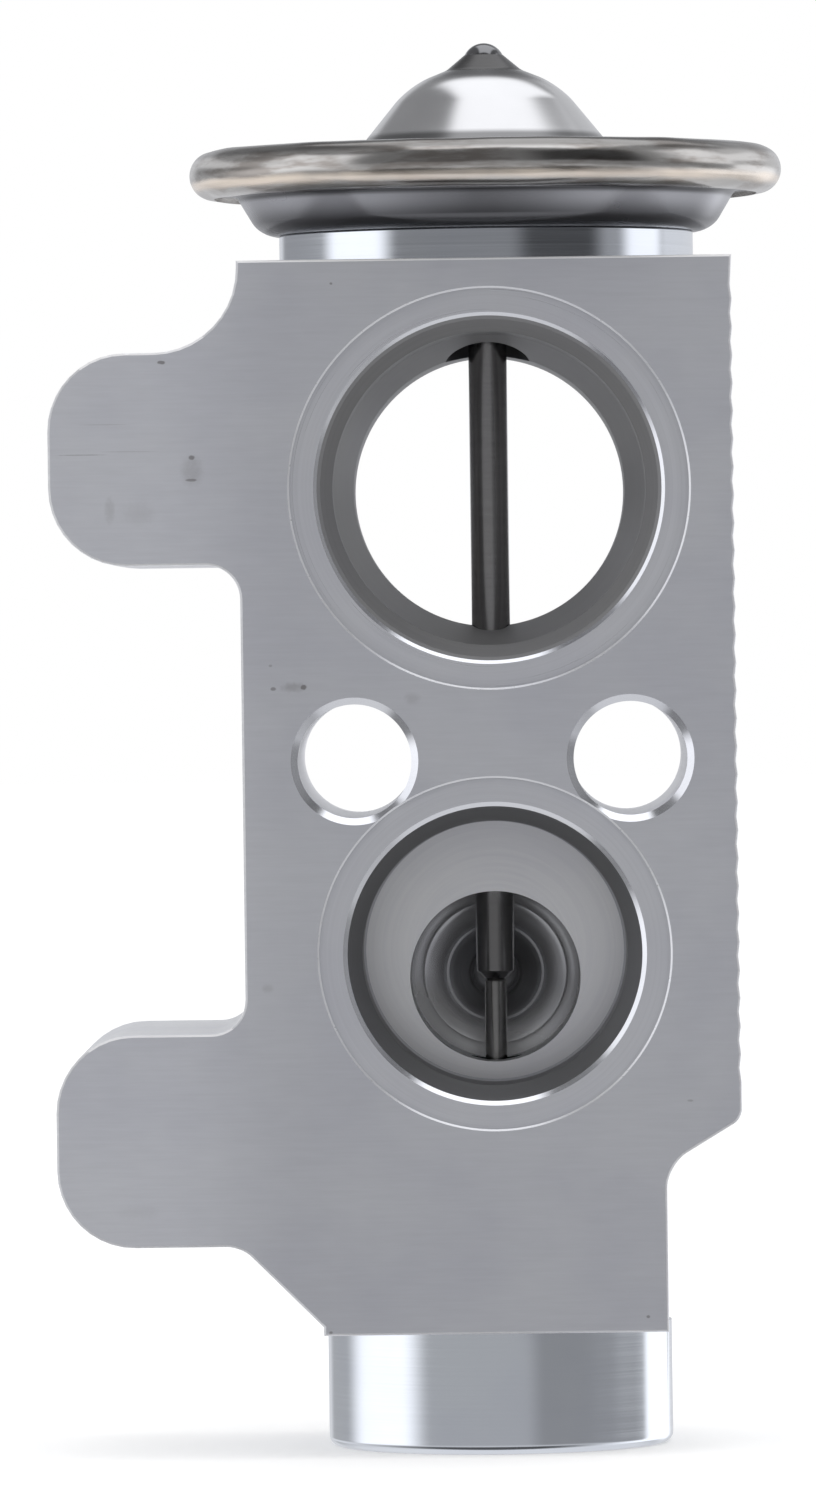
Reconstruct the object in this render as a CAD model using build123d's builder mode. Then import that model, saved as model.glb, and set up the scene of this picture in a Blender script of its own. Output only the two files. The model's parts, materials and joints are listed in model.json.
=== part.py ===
"""Block-type expansion valve for a vehicle air conditioner.

Frame: millimetres, +Z along the valve axis towards the power head, +Y from the evaporator side (the
front) to the hose side. The origin lies on the valve axis, level with the two bolt holes and halfway
through the block. Z = 0 is therefore the bolt line, and the front face is at Y = -block_depth / 2.
"""

import os
from math import radians, sin, sqrt, tan

from build123d import *

# Extruded block, seen from the front
block_depth = 25.0
block_left = 14.5
block_right = 14.2
foot_z = -40.5
boss_height = 7.2
boss_r = 10.15
boss_edge = 0.6
neck_right = 9.82
neck_spare = 0.05
neck_lip = 0.5
ear_reach = 25.55
ear_height = 12.35
upper_ear_z = 17.65
lower_ear_z = -21.9
ear_end_round = 4.5
ear_root_round = 2.0
shoulder_round = 5.0
shoulder_land = 0.4
slope_top_z = -21.0
slope_angle = 31.0
slope_round = 2.4
slope_corner = 1.0

# Bolt holes and face finish
bolt_pitch = 16.0
bolt_hole_r = 3.3
bolt_chamfer = 0.4
spot_depth = 0.25
mouth_chamfer = 0.4
mouth_chamfer_depth = 0.35

# Suction passage, straight through the block and crossed by the push rod
suction_z = 15.75
suction_r = 8.0
suction_step = 1.1
suction_step_y = -3.7
suction_cone_end_y = -0.4
suction_entry_rise = 0.7
suction_entry_depth = 1.4
suction_spot_r = 11.7
suction_rear_r = 9.5
suction_rear_floor_y = 9.0

# Outlet port, at the front, with a throat that the rod and pin cross
outlet_z = -11.25
outlet_r = 7.7
outlet_entry_rise = 0.85
outlet_entry_depth = 1.8
outlet_chamfer = 0.2
outlet_spot_r = 10.3
outlet_floor_y = -4.5
throat_drop = 1.55
throat_r = 5.0
throat_end_y = 3.0
throat_cone_angle = 70.0
throat_tip_r = 0.4

# Inlet port, at the rear, which feeds the ball chamber
inlet_r = 6.3
inlet_spot_r = 8.5
inlet_web = 1.5
feed_r = 3.0
feed_below_seat = 0.8

# Seat, chamber and adjuster bore
orifice_r = 1.5
seat_web = 1.7
chamber_r = 5.5
seal_bore_r = 6.2
seal_bore_top = 10.2
thread_r = 7.0
thread_bore_depth = 5.1
thread_mouth_chamfer = 0.6

# Head socket
head_boss_r = 12.2
head_boss_height = 1.8
neck_r = 9.0
neck_running_gap = 0.06
neck_bore_web = 1.65
neck_bore_depth = 2.6
neck_end_gap = 0.2
head_seal_section = 1.3
head_groove_width = 1.85
head_groove_depth = 1.4
well_r = 2.5

# Power head
sheet = 1.1
rim_r = 17.5
bead_r = 1.45
bead_lap = 0.05
flange_width = 1.25
cup_depth = 3.6
cup_taper = 1.45
cup_floor_round = 1.6
cup_floor_inner_round = 0.8
cup_mouth_round = 0.6
cup_mouth_inner_round = 0.9
neck_wall = 1.3
neck_root_round = 0.7
diaphragm_sheet = 0.14
diaphragm_clamp_run = 0.6
diaphragm_dish = 0.3
wave_width = 1.0
wave_height = 0.25
wave_count = 3
dome_base_r = 7.69
dome_base_round = 1.8
dome_angle = 50.8
dome_shoulder_z = 3.97
dome_shoulder_round = 5.0
crown_angle = 22.0
collar_foot_r = 2.2
collar_foot_round = 1.0
collar_angle = 40.0
collar_r = 1.15
plug_r = 1.25
plug_seat_gap = 0.02

# Moving stack, from the diaphragm down to the ball
stack_gap = 0.02
support_gap = 0.03
support_edge_margin = 0.6
support_edge_round = 0.3
support_plate = 1.2
support_hub_r = 3.2
support_hub_round = 0.4
support_hub_root_round = 0.8
support_hub_length = 4.7
support_socket_depth = 3.0
support_hole_r = 1.1
support_hole_circle = 6.6
support_hole_count = 4
support_hole_start = 45.0
rod_r = 1.125
rod_running_gap = 0.06
rod_end_chamfer = 0.45
rod_tip_below_throat = 0.25
pin_r = 0.65
pin_tip_chamfer = 0.1
pin_tip_height = 0.3
ball_r = 2.38
seat_gap = 0.05

# Ball carrier, damping ring, spring and adjuster
carrier_cup_angle = 60.0
carrier_cup_r = 2.2
carrier_neck_r = 3.0
carrier_neck = 1.1
carrier_flange_r = 4.6
carrier_flange = 1.0
carrier_stub_r = 2.4
carrier_stub = 3.0
damper_sheet = 0.25
damper_gap = 0.2
damper_leg_height = 3.0
damper_leg_arc = 28.0
damper_leg_start = 30.0
damper_leg_count = 3
spring_wire_r = 0.6
spring_mean_r = 4.0
spring_turns = 3.25
screw_recess = 1.0
screw_thread_length = 3.2
screw_running_gap = 0.06
screw_cup_r = 5.0
screw_cup_depth = 1.2
screw_cup_floor = 0.6
adjuster_seal_section = 1.2
adjuster_groove_floor_r = 4.83
adjuster_groove_width = 1.6
adjuster_groove_shoulder = 1.7
hex_across_flats = 7.0
hex_depth = 3.2

# Levels that follow from the sizes above
front_y = -block_depth / 2
rear_y = block_depth / 2
block_bottom = foot_z + boss_height
neck_left = boss_r + neck_spare
neck_floor_z = suction_z + suction_r + suction_step + neck_bore_web
block_top = neck_floor_z + neck_bore_depth
head_seat_z = block_top + head_boss_height
rim_z = head_seat_z + cup_depth
throat_z = outlet_z - throat_drop
seat_z = throat_z - throat_r - seat_web
inlet_z = seat_z - feed_below_seat - feed_r
ball_z = seat_z - sqrt(ball_r**2 - orifice_r**2) - seat_gap
rod_tip_z = throat_z - rod_tip_below_throat
seal_bore_top_z = foot_z + seal_bore_top
thread_top_z = foot_z + thread_bore_depth


def section(plane, points, radii=0):
    """A closed flat section through the points, with its corners rounded in order."""
    with BuildSketch(plane) as flat:
        with BuildLine():
            FilletPolyline(*points, radius=radii, close=True)
        make_face()
    return flat.sketch


def turn(points, radii=0, mode=Mode.ADD):
    """Turns a section of (radius, height) points about the valve axis."""
    revolve(section(Plane.XZ, points, radii), axis=Axis.Z, mode=mode)


def cut_port(height, steps):
    """Cuts a round port along Y at the height, from (y, radius) steps that start at its mouth."""
    wall = [(y, height + radius) for y, radius in steps]
    closed = [(steps[0][0], height), *wall, (steps[-1][0], height)]
    revolve(section(Plane.YZ, closed), axis=Axis((0, 0, height), (0, 1, 0)), mode=Mode.SUBTRACT)


def rounded_sheet(path_points, path_radii, thickness):
    """A sheet-metal section on the valve axis plane: one folded line with an even thickness."""
    with BuildSketch(Plane.XZ) as flat:
        with BuildLine():
            FilletPolyline(*path_points, radius=path_radii)
            offset(amount=thickness, side=Side.LEFT, closed=True)
        make_face()
    return flat.sketch


# Valve body: the extruded profile, its turned bosses and every bore
ear_half = ear_height / 2
upper_ear_top = upper_ear_z + ear_half
upper_ear_bottom = upper_ear_z - ear_half
lower_ear_top = lower_ear_z + ear_half
lower_ear_bottom = lower_ear_z - ear_half
diagonal_foot_z = block_bottom + neck_lip
diagonal_top_x = neck_left + lower_ear_bottom - diagonal_foot_z
slope_foot_z = slope_top_z - (block_right - neck_right) * tan(radians(slope_angle))
shoulder = min(shoulder_round, block_top - upper_ear_top - shoulder_land)

profile_corners = [
    ((-block_left, block_top), 0),
    ((block_right, block_top), 0),
    ((block_right, slope_top_z), slope_corner),
    ((neck_right, slope_foot_z), slope_round),
    ((neck_right, block_bottom), 0),
    ((-neck_left, block_bottom), 0),
    ((-neck_left, diagonal_foot_z), 0),
    ((-diagonal_top_x, lower_ear_bottom), ear_root_round),
    ((-ear_reach, lower_ear_bottom), ear_end_round),
    ((-ear_reach, lower_ear_top), ear_end_round),
    ((-block_left, lower_ear_top), ear_root_round),
    ((-block_left, upper_ear_bottom), ear_root_round),
    ((-ear_reach, upper_ear_bottom), ear_end_round),
    ((-ear_reach, upper_ear_top), ear_end_round),
    ((-block_left, upper_ear_top), shoulder),
]

with BuildPart() as valve_body:
    corner_points = [point for point, radius in profile_corners]
    corner_radii = [radius for point, radius in profile_corners]
    extrude(section(Plane.XZ, corner_points, corner_radii), amount=block_depth / 2, both=True)

    # Bottom boss and head boss
    foot_boss = [(0, foot_z), (boss_r, foot_z), (boss_r, block_bottom), (0, block_bottom)]
    turn(foot_boss, [0, boss_edge, 0, 0])
    turn([(0, block_top), (head_boss_r, block_top), (head_boss_r, head_seat_z), (0, head_seat_z)])

    # Two bolt holes, countersunk on both faces
    front_face = Plane.XZ.offset(block_depth / 2)
    rear_face = Plane.XZ.offset(-block_depth / 2).rotated((180, 0, 0))
    for face in (front_face, rear_face):
        with Locations(face):
            with GridLocations(bolt_pitch, 0, 2, 1):
                CounterSinkHole(bolt_hole_r, bolt_hole_r + bolt_chamfer, counter_sink_angle=90)

    # Suction passage, from the front face to the rear face
    suction_wide_r = suction_r + suction_step
    suction_mouth_r = suction_wide_r + suction_entry_rise
    rear_mouth_r = suction_rear_r + mouth_chamfer
    cut_port(suction_z, [
        (front_y, suction_spot_r),
        (front_y + spot_depth, suction_spot_r),
        (front_y + spot_depth, suction_mouth_r + mouth_chamfer),
        (front_y + spot_depth + mouth_chamfer_depth, suction_mouth_r),
        (front_y + spot_depth + suction_entry_depth, suction_wide_r),
        (suction_step_y, suction_wide_r),
        (suction_cone_end_y, suction_r),
        (suction_rear_floor_y, suction_r),
        (suction_rear_floor_y, suction_rear_r),
        (rear_y - spot_depth - mouth_chamfer, suction_rear_r),
        (rear_y - spot_depth, rear_mouth_r),
        (rear_y - spot_depth, suction_spot_r),
        (rear_y, suction_spot_r),
    ])

    # Outlet port with its lower, off-centre throat
    outlet_mouth_r = outlet_r + outlet_entry_rise
    cut_port(outlet_z, [
        (front_y, outlet_spot_r),
        (front_y + spot_depth, outlet_spot_r),
        (front_y + spot_depth, outlet_mouth_r + outlet_chamfer),
        (front_y + spot_depth + outlet_chamfer, outlet_mouth_r),
        (front_y + outlet_entry_depth, outlet_r),
        (outlet_floor_y, outlet_r),
    ])
    throat_tip_y = throat_end_y + (throat_r - throat_tip_r) / tan(radians(throat_cone_angle))
    cut_port(throat_z, [(outlet_floor_y, throat_r), (throat_end_y, throat_r), (throat_tip_y, throat_tip_r)])

    # Inlet port and its feed hole into the ball chamber
    inlet_floor_y = chamber_r + inlet_web
    cut_port(inlet_z, [
        (rear_y, inlet_spot_r),
        (rear_y - spot_depth, inlet_spot_r),
        (rear_y - spot_depth, inlet_r + mouth_chamfer),
        (rear_y - spot_depth - mouth_chamfer, inlet_r),
        (inlet_floor_y, inlet_r),
        (inlet_floor_y, feed_r),
        (0, feed_r),
    ])

    # Head socket, rod well and rod guide
    neck_bore_r = neck_r + neck_running_gap
    guide_r = rod_r + rod_running_gap
    groove_r = neck_bore_r + head_groove_width
    turn([
        (0, head_seat_z),
        (groove_r, head_seat_z),
        (groove_r, head_seat_z - head_groove_depth),
        (neck_bore_r, head_seat_z - head_groove_depth),
        (neck_bore_r, neck_floor_z),
        (well_r, neck_floor_z),
        (well_r, suction_z),
        (guide_r, suction_z),
        (guide_r, throat_z),
        (0, throat_z),
    ], mode=Mode.SUBTRACT)

    # Orifice, ball chamber and adjuster bore, open at the foot
    turn([
        (0, throat_z),
        (orifice_r, throat_z),
        (orifice_r, seat_z),
        (chamber_r, seat_z),
        (chamber_r, seal_bore_top_z),
        (seal_bore_r, seal_bore_top_z),
        (seal_bore_r, thread_top_z),
        (thread_r, thread_top_z),
        (thread_r, foot_z + thread_mouth_chamfer),
        (thread_r + thread_mouth_chamfer, foot_z),
        (0, foot_z),
    ], mode=Mode.SUBTRACT)

# Power head: two pressed covers with the diaphragm clamped between them
flange_r = rim_r - bead_r - bead_lap
cup_mouth_r = flange_r - flange_width
cup_floor_r = cup_mouth_r - cup_taper
lower_flange_top = rim_z - diaphragm_sheet / 2
lower_flange_bottom = lower_flange_top - sheet
upper_flange_bottom = rim_z + diaphragm_sheet / 2
upper_flange_top = upper_flange_bottom + sheet
cup_floor_z = head_seat_z + sheet
neck_bottom_z = neck_floor_z + neck_end_gap

clamp_r = cup_mouth_r - sheet / 2
cup_corners = [
    ((neck_r - neck_wall, neck_bottom_z), 0),
    ((neck_r, neck_bottom_z), 0),
    ((neck_r, head_seat_z), 0),
    ((cup_floor_r, head_seat_z), cup_floor_round),
    ((cup_mouth_r, lower_flange_bottom), cup_mouth_round),
    ((flange_r, lower_flange_bottom), 0),
    ((flange_r, lower_flange_top), 0),
    ((clamp_r, lower_flange_top), cup_mouth_inner_round),
    ((cup_floor_r - sheet, cup_floor_z), cup_floor_inner_round),
    ((neck_r - neck_wall, cup_floor_z), neck_root_round),
]

with BuildPart() as head_lower_cover:
    turn([point for point, radius in cup_corners], [radius for point, radius in cup_corners])

# The diaphragm hangs a little below its clamped edge, so that it can move towards the flat dome base
waves_end_r = clamp_r - diaphragm_clamp_run
diaphragm_flat_r = waves_end_r - wave_count * wave_width

with BuildPart() as head_diaphragm:
    with BuildSketch(Plane.XZ):
        with BuildLine():
            for clamp_z in (lower_flange_top, upper_flange_bottom):
                flat_z = clamp_z - diaphragm_dish
                Line((0, flat_z), (diaphragm_flat_r, flat_z))
                for wave in range(wave_count):
                    start = diaphragm_flat_r + wave * wave_width
                    crest = (start + wave_width / 2, flat_z - wave_height * (-1) ** wave)
                    ThreePointArc((start, flat_z), crest, (start + wave_width, flat_z))
                Polyline((waves_end_r, flat_z), (clamp_r, clamp_z), (flange_r, clamp_z))
            Line((0, lower_flange_top - diaphragm_dish), (0, upper_flange_bottom - diaphragm_dish))
            Line((flange_r, lower_flange_top), (flange_r, upper_flange_bottom))
        make_face()
    revolve(axis=Axis.Z)

# The dome is one folded line: flange, cone, crown and the collar that holds the filling plug
dome_slope = tan(radians(dome_angle))
shoulder_z = upper_flange_top + dome_shoulder_z
shoulder_r = dome_base_r - dome_shoulder_z / dome_slope
collar_foot_z = shoulder_z + (shoulder_r - collar_foot_r) * tan(radians(crown_angle))
collar_top_z = collar_foot_z + (collar_foot_r - collar_r) * tan(radians(collar_angle))
plug_z = collar_top_z - sqrt(plug_r**2 - (collar_r - plug_seat_gap) ** 2)

with BuildPart() as head_upper_cover:
    dome_line = [
        (flange_r, upper_flange_top),
        (dome_base_r, upper_flange_top),
        (shoulder_r, shoulder_z),
        (collar_foot_r, collar_foot_z),
        (collar_r, collar_top_z),
    ]
    dome_rounds = [dome_base_round, dome_shoulder_round, collar_foot_round]
    revolve(rounded_sheet(dome_line, dome_rounds, sheet), axis=Axis.Z)
    with Locations((0, 0, plug_z)):
        Sphere(plug_r + plug_seat_gap, mode=Mode.SUBTRACT)

with BuildPart() as charge_plug:
    with Locations((0, 0, plug_z)):
        Sphere(plug_r)

with BuildPart() as rim_weld:
    with BuildSketch(Plane.XZ):
        with Locations((rim_r - bead_r, rim_z)):
            Circle(bead_r)
        with Locations((flange_r, rim_z)):
            Rectangle(2 * bead_r, 2 * bead_r, align=(Align.MAX, Align.CENTER), mode=Mode.SUBTRACT)
    revolve(axis=Axis.Z)

with BuildPart() as head_seal_ring:
    with Locations((0, 0, head_seat_z - head_groove_depth / 2)):
        Torus(neck_bore_r + head_groove_width / 2, head_seal_section / 2)

# Moving stack: support plate, push rod, pin, ball and ball carrier
support_top_z = lower_flange_top - diaphragm_dish - support_gap
rod_top_z = support_top_z - support_plate - support_hub_length + support_socket_depth
hub_bottom_z = support_top_z - support_plate - support_hub_length
socket_r = rod_r + stack_gap
support_r = diaphragm_flat_r - support_edge_margin
support_corners = [
    ((0, rod_top_z + stack_gap), 0),
    ((socket_r, rod_top_z + stack_gap), 0),
    ((socket_r, hub_bottom_z), 0),
    ((support_hub_r, hub_bottom_z), support_hub_round),
    ((support_hub_r, support_top_z - support_plate), support_hub_root_round),
    ((support_r, support_top_z - support_plate), support_edge_round),
    ((support_r, support_top_z), support_edge_round),
    ((0, support_top_z), 0),
]

with BuildPart() as diaphragm_support:
    turn([point for point, radius in support_corners], [radius for point, radius in support_corners])
    with Locations((0, 0, support_top_z)):
        with PolarLocations(support_hole_circle, support_hole_count, start_angle=support_hole_start):
            Hole(support_hole_r)

rod_chamfer_r = rod_r - rod_end_chamfer

with BuildPart() as push_rod:
    turn([
        (0, rod_tip_z),
        (rod_chamfer_r, rod_tip_z),
        (rod_r, rod_tip_z + rod_end_chamfer),
        (rod_r, rod_top_z - rod_end_chamfer / 2),
        (rod_r - rod_end_chamfer / 2, rod_top_z),
        (0, rod_top_z),
    ])

pin_top_z = rod_tip_z - stack_gap
pin_bottom_z = ball_z + ball_r + stack_gap

with BuildPart() as valve_pin:
    turn([
        (0, pin_bottom_z),
        (pin_r, pin_bottom_z),
        (pin_r, pin_top_z - pin_tip_height),
        (pin_r - pin_tip_chamfer, pin_top_z),
        (0, pin_top_z),
    ])

with BuildPart() as valve_ball:
    with Locations((0, 0, ball_z)):
        Sphere(ball_r)

# The carrier's cone holds the ball from below, its stub centres the spring
cup_slope = tan(radians(carrier_cup_angle))
cup_apex_z = ball_z - ball_r / sin(radians(carrier_cup_angle)) - stack_gap
cup_top_z = cup_apex_z + carrier_cup_r / cup_slope
flange_top_z = cup_top_z - carrier_neck
flange_bottom_z = flange_top_z - carrier_flange

with BuildPart() as ball_carrier:
    turn([
        (0, cup_apex_z),
        (carrier_cup_r, cup_top_z),
        (carrier_neck_r, cup_top_z),
        (carrier_neck_r, flange_top_z),
        (carrier_flange_r, flange_top_z),
        (carrier_flange_r, flange_bottom_z),
        (carrier_stub_r, flange_bottom_z),
        (carrier_stub_r, flange_bottom_z - carrier_stub),
        (0, flange_bottom_z - carrier_stub),
    ])

# Damping ring: a thin plate under the carrier with three legs that rub on the chamber wall
damper_r = chamber_r - damper_gap
damper_bottom_z = flange_bottom_z - damper_sheet

with BuildPart() as damping_ring:
    turn([
        (carrier_stub_r + stack_gap, damper_bottom_z),
        (damper_r, damper_bottom_z),
        (damper_r, flange_bottom_z),
        (carrier_stub_r + stack_gap, flange_bottom_z),
    ])
    leg = section(Plane.XZ, [
        (damper_r - damper_sheet, damper_bottom_z),
        (damper_r, damper_bottom_z),
        (damper_r, damper_bottom_z + damper_leg_height),
        (damper_r - damper_sheet, damper_bottom_z + damper_leg_height),
    ])
    for number in range(damper_leg_count):
        leg_angle = damper_leg_start + number * 360 / damper_leg_count - damper_leg_arc / 2
        revolve(leg.rotate(Axis.Z, leg_angle), axis=Axis.Z, revolution_arc=damper_leg_arc)

# Adjusting screw, at the foot of the block, with its seal ring
screw_bottom_z = foot_z + screw_recess
screw_step_z = screw_bottom_z + screw_thread_length
groove_bottom_z = screw_step_z + adjuster_groove_shoulder
groove_top_z = groove_bottom_z + adjuster_groove_width
spring_seat_z = groove_top_z + screw_cup_floor
screw_top_z = spring_seat_z + screw_cup_depth
screw_r = thread_r - screw_running_gap
nose_r = seal_bore_r - screw_running_gap

with BuildPart() as adjusting_screw:
    turn([
        (0, screw_bottom_z),
        (screw_r - thread_mouth_chamfer, screw_bottom_z),
        (screw_r, screw_bottom_z + thread_mouth_chamfer),
        (screw_r, screw_step_z),
        (nose_r, screw_step_z),
        (nose_r, groove_bottom_z),
        (adjuster_groove_floor_r, groove_bottom_z),
        (adjuster_groove_floor_r, groove_top_z),
        (nose_r, groove_top_z),
        (nose_r, screw_top_z),
        (screw_cup_r, screw_top_z),
        (screw_cup_r, spring_seat_z),
        (0, spring_seat_z),
    ])
    with BuildSketch(Plane.XY.offset(screw_bottom_z)):
        RegularPolygon(hex_across_flats / 2, 6, major_radius=False)
    extrude(amount=hex_depth, mode=Mode.SUBTRACT)

with BuildPart() as adjuster_seal_ring:
    with Locations((0, 0, (groove_bottom_z + groove_top_z) / 2)):
        Torus((adjuster_groove_floor_r + seal_bore_r) / 2, adjuster_seal_section / 2)

# Bias spring, between the damping ring and the screw's cup
spring_rise = damper_bottom_z - spring_seat_z - 2 * (spring_wire_r + stack_gap)
spring_start_z = spring_seat_z + spring_wire_r + stack_gap

with BuildPart() as bias_spring:
    with BuildLine():
        Helix(
            pitch=spring_rise / spring_turns,
            height=spring_rise,
            radius=spring_mean_r,
            center=(0, 0, spring_start_z),
        )
    with BuildSketch(Plane(origin=(spring_mean_r, 0, spring_start_z), z_dir=(0, 1, 0))):
        Circle(spring_wire_r)
    sweep(is_frenet=True)

pieces = {
    "valve_body": valve_body,
    "head_lower_cover": head_lower_cover,
    "head_diaphragm": head_diaphragm,
    "head_upper_cover": head_upper_cover,
    "charge_plug": charge_plug,
    "rim_weld": rim_weld,
    "head_seal_ring": head_seal_ring,
    "diaphragm_support": diaphragm_support,
    "push_rod": push_rod,
    "valve_pin": valve_pin,
    "valve_ball": valve_ball,
    "ball_carrier": ball_carrier,
    "damping_ring": damping_ring,
    "bias_spring": bias_spring,
    "adjusting_screw": adjusting_screw,
    "adjuster_seal_ring": adjuster_seal_ring,
}

os.makedirs("parts", exist_ok=True)
for name, piece in pieces.items():
    piece.part.label = name
    export_step(piece.part, f"parts/{name}.step")
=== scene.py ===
"""Looks of the block expansion valve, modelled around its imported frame.

Metres, +Z along the valve axis to the power head, the photographed face towards -Y. The block, the
pressed head, the rod, the pin, the ball, the spring and the screw are modelled here again at a finer
resolution than the frame has. The pieces inside keep their frame meshes and get their finishes here.
"""

import json
from itertools import pairwise
from math import atan2, cos, hypot, pi, radians, sin, tan

import bmesh
import bpy
from mathutils import Euler, Matrix, Vector


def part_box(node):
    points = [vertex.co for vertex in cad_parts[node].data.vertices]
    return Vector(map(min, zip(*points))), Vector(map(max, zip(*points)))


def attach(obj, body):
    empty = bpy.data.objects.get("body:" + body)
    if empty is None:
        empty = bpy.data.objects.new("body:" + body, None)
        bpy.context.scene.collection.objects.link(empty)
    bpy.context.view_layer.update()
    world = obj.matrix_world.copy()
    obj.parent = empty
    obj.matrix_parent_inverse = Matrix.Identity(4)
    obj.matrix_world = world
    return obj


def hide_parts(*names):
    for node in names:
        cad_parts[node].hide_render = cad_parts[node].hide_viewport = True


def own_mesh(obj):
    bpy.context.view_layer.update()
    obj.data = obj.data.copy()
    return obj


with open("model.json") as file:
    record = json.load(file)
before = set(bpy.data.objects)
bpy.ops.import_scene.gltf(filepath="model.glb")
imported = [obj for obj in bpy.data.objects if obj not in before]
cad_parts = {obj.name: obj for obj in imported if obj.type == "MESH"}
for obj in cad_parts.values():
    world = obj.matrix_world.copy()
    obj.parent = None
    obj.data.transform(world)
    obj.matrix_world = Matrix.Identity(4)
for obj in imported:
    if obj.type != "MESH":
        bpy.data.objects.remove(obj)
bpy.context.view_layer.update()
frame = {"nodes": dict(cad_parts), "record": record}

MM = 0.001
TINY = 0.002 * MM

# Levels and radii that the frame gives
mounts = {mount["name"]: mount for mount in frame["record"]["mounts"]}
block_low, block_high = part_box("valve_body")
cup_low, cup_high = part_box("head_lower_cover")
dome_low, dome_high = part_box("head_upper_cover")
weld_low, weld_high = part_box("rim_weld")
plug_low, plug_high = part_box("charge_plug")
rod_low, rod_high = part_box("push_rod")
pin_low, pin_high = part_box("valve_pin")
ball_low, ball_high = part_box("valve_ball")
spring_low, spring_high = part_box("bias_spring")
screw_low, screw_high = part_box("adjusting_screw")

front_y = block_low.y
rear_y = block_high.y
foot_z = block_low.z
head_seat_z = block_high.z
rim_z = (weld_low.z + weld_high.z) / 2
rim_r = weld_high.x
bead_r = (weld_high.z - weld_low.z) / 2
plug_z = (plug_low.z + plug_high.z) / 2
plug_r = plug_high.x

# Block outline, seen from the front
block_left = 14.5 * MM
block_right = 14.2 * MM
block_bottom = foot_z + 7.2 * MM
block_top = head_seat_z - 1.8 * MM
boss_r = 10.15 * MM
neck_left = 10.2 * MM
neck_right = 9.82 * MM
neck_lip = 0.5 * MM
ear_tip = block_low.x
ear_half = 6.175 * MM
upper_ear_z = 17.65 * MM
lower_ear_z = -21.9 * MM
ear_end_round = 4.5 * MM
ear_root_round = 2.0 * MM
ear_shoulder_gap = 0.4 * MM
slope_top_z = -21.0 * MM
slope_angle = radians(31.0)
slope_round = 2.4 * MM
slope_corner = 1.0 * MM
edge_break = 0.13 * MM
foot_edge_round = 0.6 * MM
saw_wave_pitch = 1.62 * MM
saw_wave_depth = 0.1 * MM
saw_wave_top = 1.0 * MM
saw_wave_end = 1.5 * MM

# Ports, bolt holes and bores
overcut = 1.0 * MM
spot_depth = 0.25 * MM
spot_lip = 0.11 * MM
spot_lip_depth = 0.09 * MM
mouth_chamfer = 0.4 * MM
mouth_chamfer_depth = 0.3 * MM
outlet_chamfer = 0.26 * MM
outlet_chamfer_depth = 0.2 * MM
suction_z = mounts["suction_in"]["pos_m"][2]
suction_wide_r = mounts["suction_in"]["dims"]["r_mm"] * MM
suction_r = 8.0 * MM
suction_mouth_r = 9.8 * MM
suction_spot_r = 11.7 * MM
suction_entry_depth = 1.4 * MM
suction_step_y = -3.7 * MM
suction_cone_end_y = -0.4 * MM
suction_rear_floor_y = 9.0 * MM
suction_rear_r = mounts["suction_out"]["dims"]["r_mm"] * MM
outlet_z = mounts["liquid_out"]["pos_m"][2]
outlet_r = mounts["liquid_out"]["dims"]["r_mm"] * MM
outlet_mouth_r = 8.55 * MM
outlet_spot_r = 10.3 * MM
outlet_entry_depth = 1.8 * MM
outlet_floor_y = -4.5 * MM
outlet_floor_chamfer = 0.14 * MM
throat_z = -12.8 * MM
throat_r = 5.0 * MM
throat_end_y = 3.0 * MM
throat_cone_angle = radians(70.0)
throat_tip_r = 0.3 * MM
throat_rings = 8
throat_ring_wander = 0.12 * MM
throat_ring_depth = 0.03 * MM
throat_ring_change = 0.014 * MM
throat_lead = 0.5 * MM
inlet_z = mounts["liquid_in"]["pos_m"][2]
inlet_r = mounts["liquid_in"]["dims"]["r_mm"] * MM
inlet_spot_r = 8.5 * MM
inlet_floor_y = 7.0 * MM
inlet_floor_round = 0.2 * MM
feed_r = 3.0 * MM
bolt_r = mounts["bolts"]["dims"]["hole_r_mm"] * MM
bolt_x = mounts["bolts"]["dims"]["spacing_x_mm"] * MM / 2
boss_lap = 2.0 * MM
boss_overlap = 0.02 * MM
head_boss_r = 12.2 * MM
head_boss_round = 0.12 * MM
head_socket_r = 9.06 * MM
head_groove_width = 1.85 * MM
head_groove_depth = 1.4 * MM
head_socket_depth = 2.6 * MM
rod_well_r = 2.5 * MM
rod_gap = 0.06 * MM
orifice_r = 1.5 * MM
seat_z = -19.5 * MM
chamber_r = 5.5 * MM
seal_bore_r = 6.2 * MM
seal_bore_low = 5.1 * MM
seal_bore_high = 10.2 * MM
thread_r = 7.0 * MM
thread_pitch = 1.0 * MM
thread_depth = 0.5 * MM
thread_sink = 0.05 * MM
thread_mouth = 1.4 * MM
thread_mouth_depth = 0.9 * MM
thread_crest_share = 0.16
bore_thread_low = 0.3 * MM
bore_thread_high = 4.7 * MM

# Power head
sheet = 1.1 * MM
neck_wall = 1.3 * MM
cup_floor_r = 13.3 * MM
cup_mouth_r = 14.75 * MM
neck_r = 9.0 * MM
cup_floor_round = 1.6 * MM
cup_mouth_round = 0.6 * MM
cup_inner_mouth_round = 0.9 * MM
cup_inner_floor_round = 0.8 * MM
neck_inner_round = 0.7 * MM
flange_r = 16.0 * MM
dome_base_r = 7.69 * MM
dome_angle = radians(50.8)
dome_rise = 3.97 * MM
crown_angle = radians(22.0)
dome_foot_round = 1.8 * MM
dome_shoulder_round = 5.0 * MM
collar_foot_round = 1.0 * MM
collar_foot_r = 2.2 * MM
collar_angle = radians(40.0)
collar_r = 1.15 * MM
plug_gap = 0.02 * MM
bead_lap = 0.05 * MM
bead_ripple = 0.09 * MM
bead_ripple_size = 3.2 * MM

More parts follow.
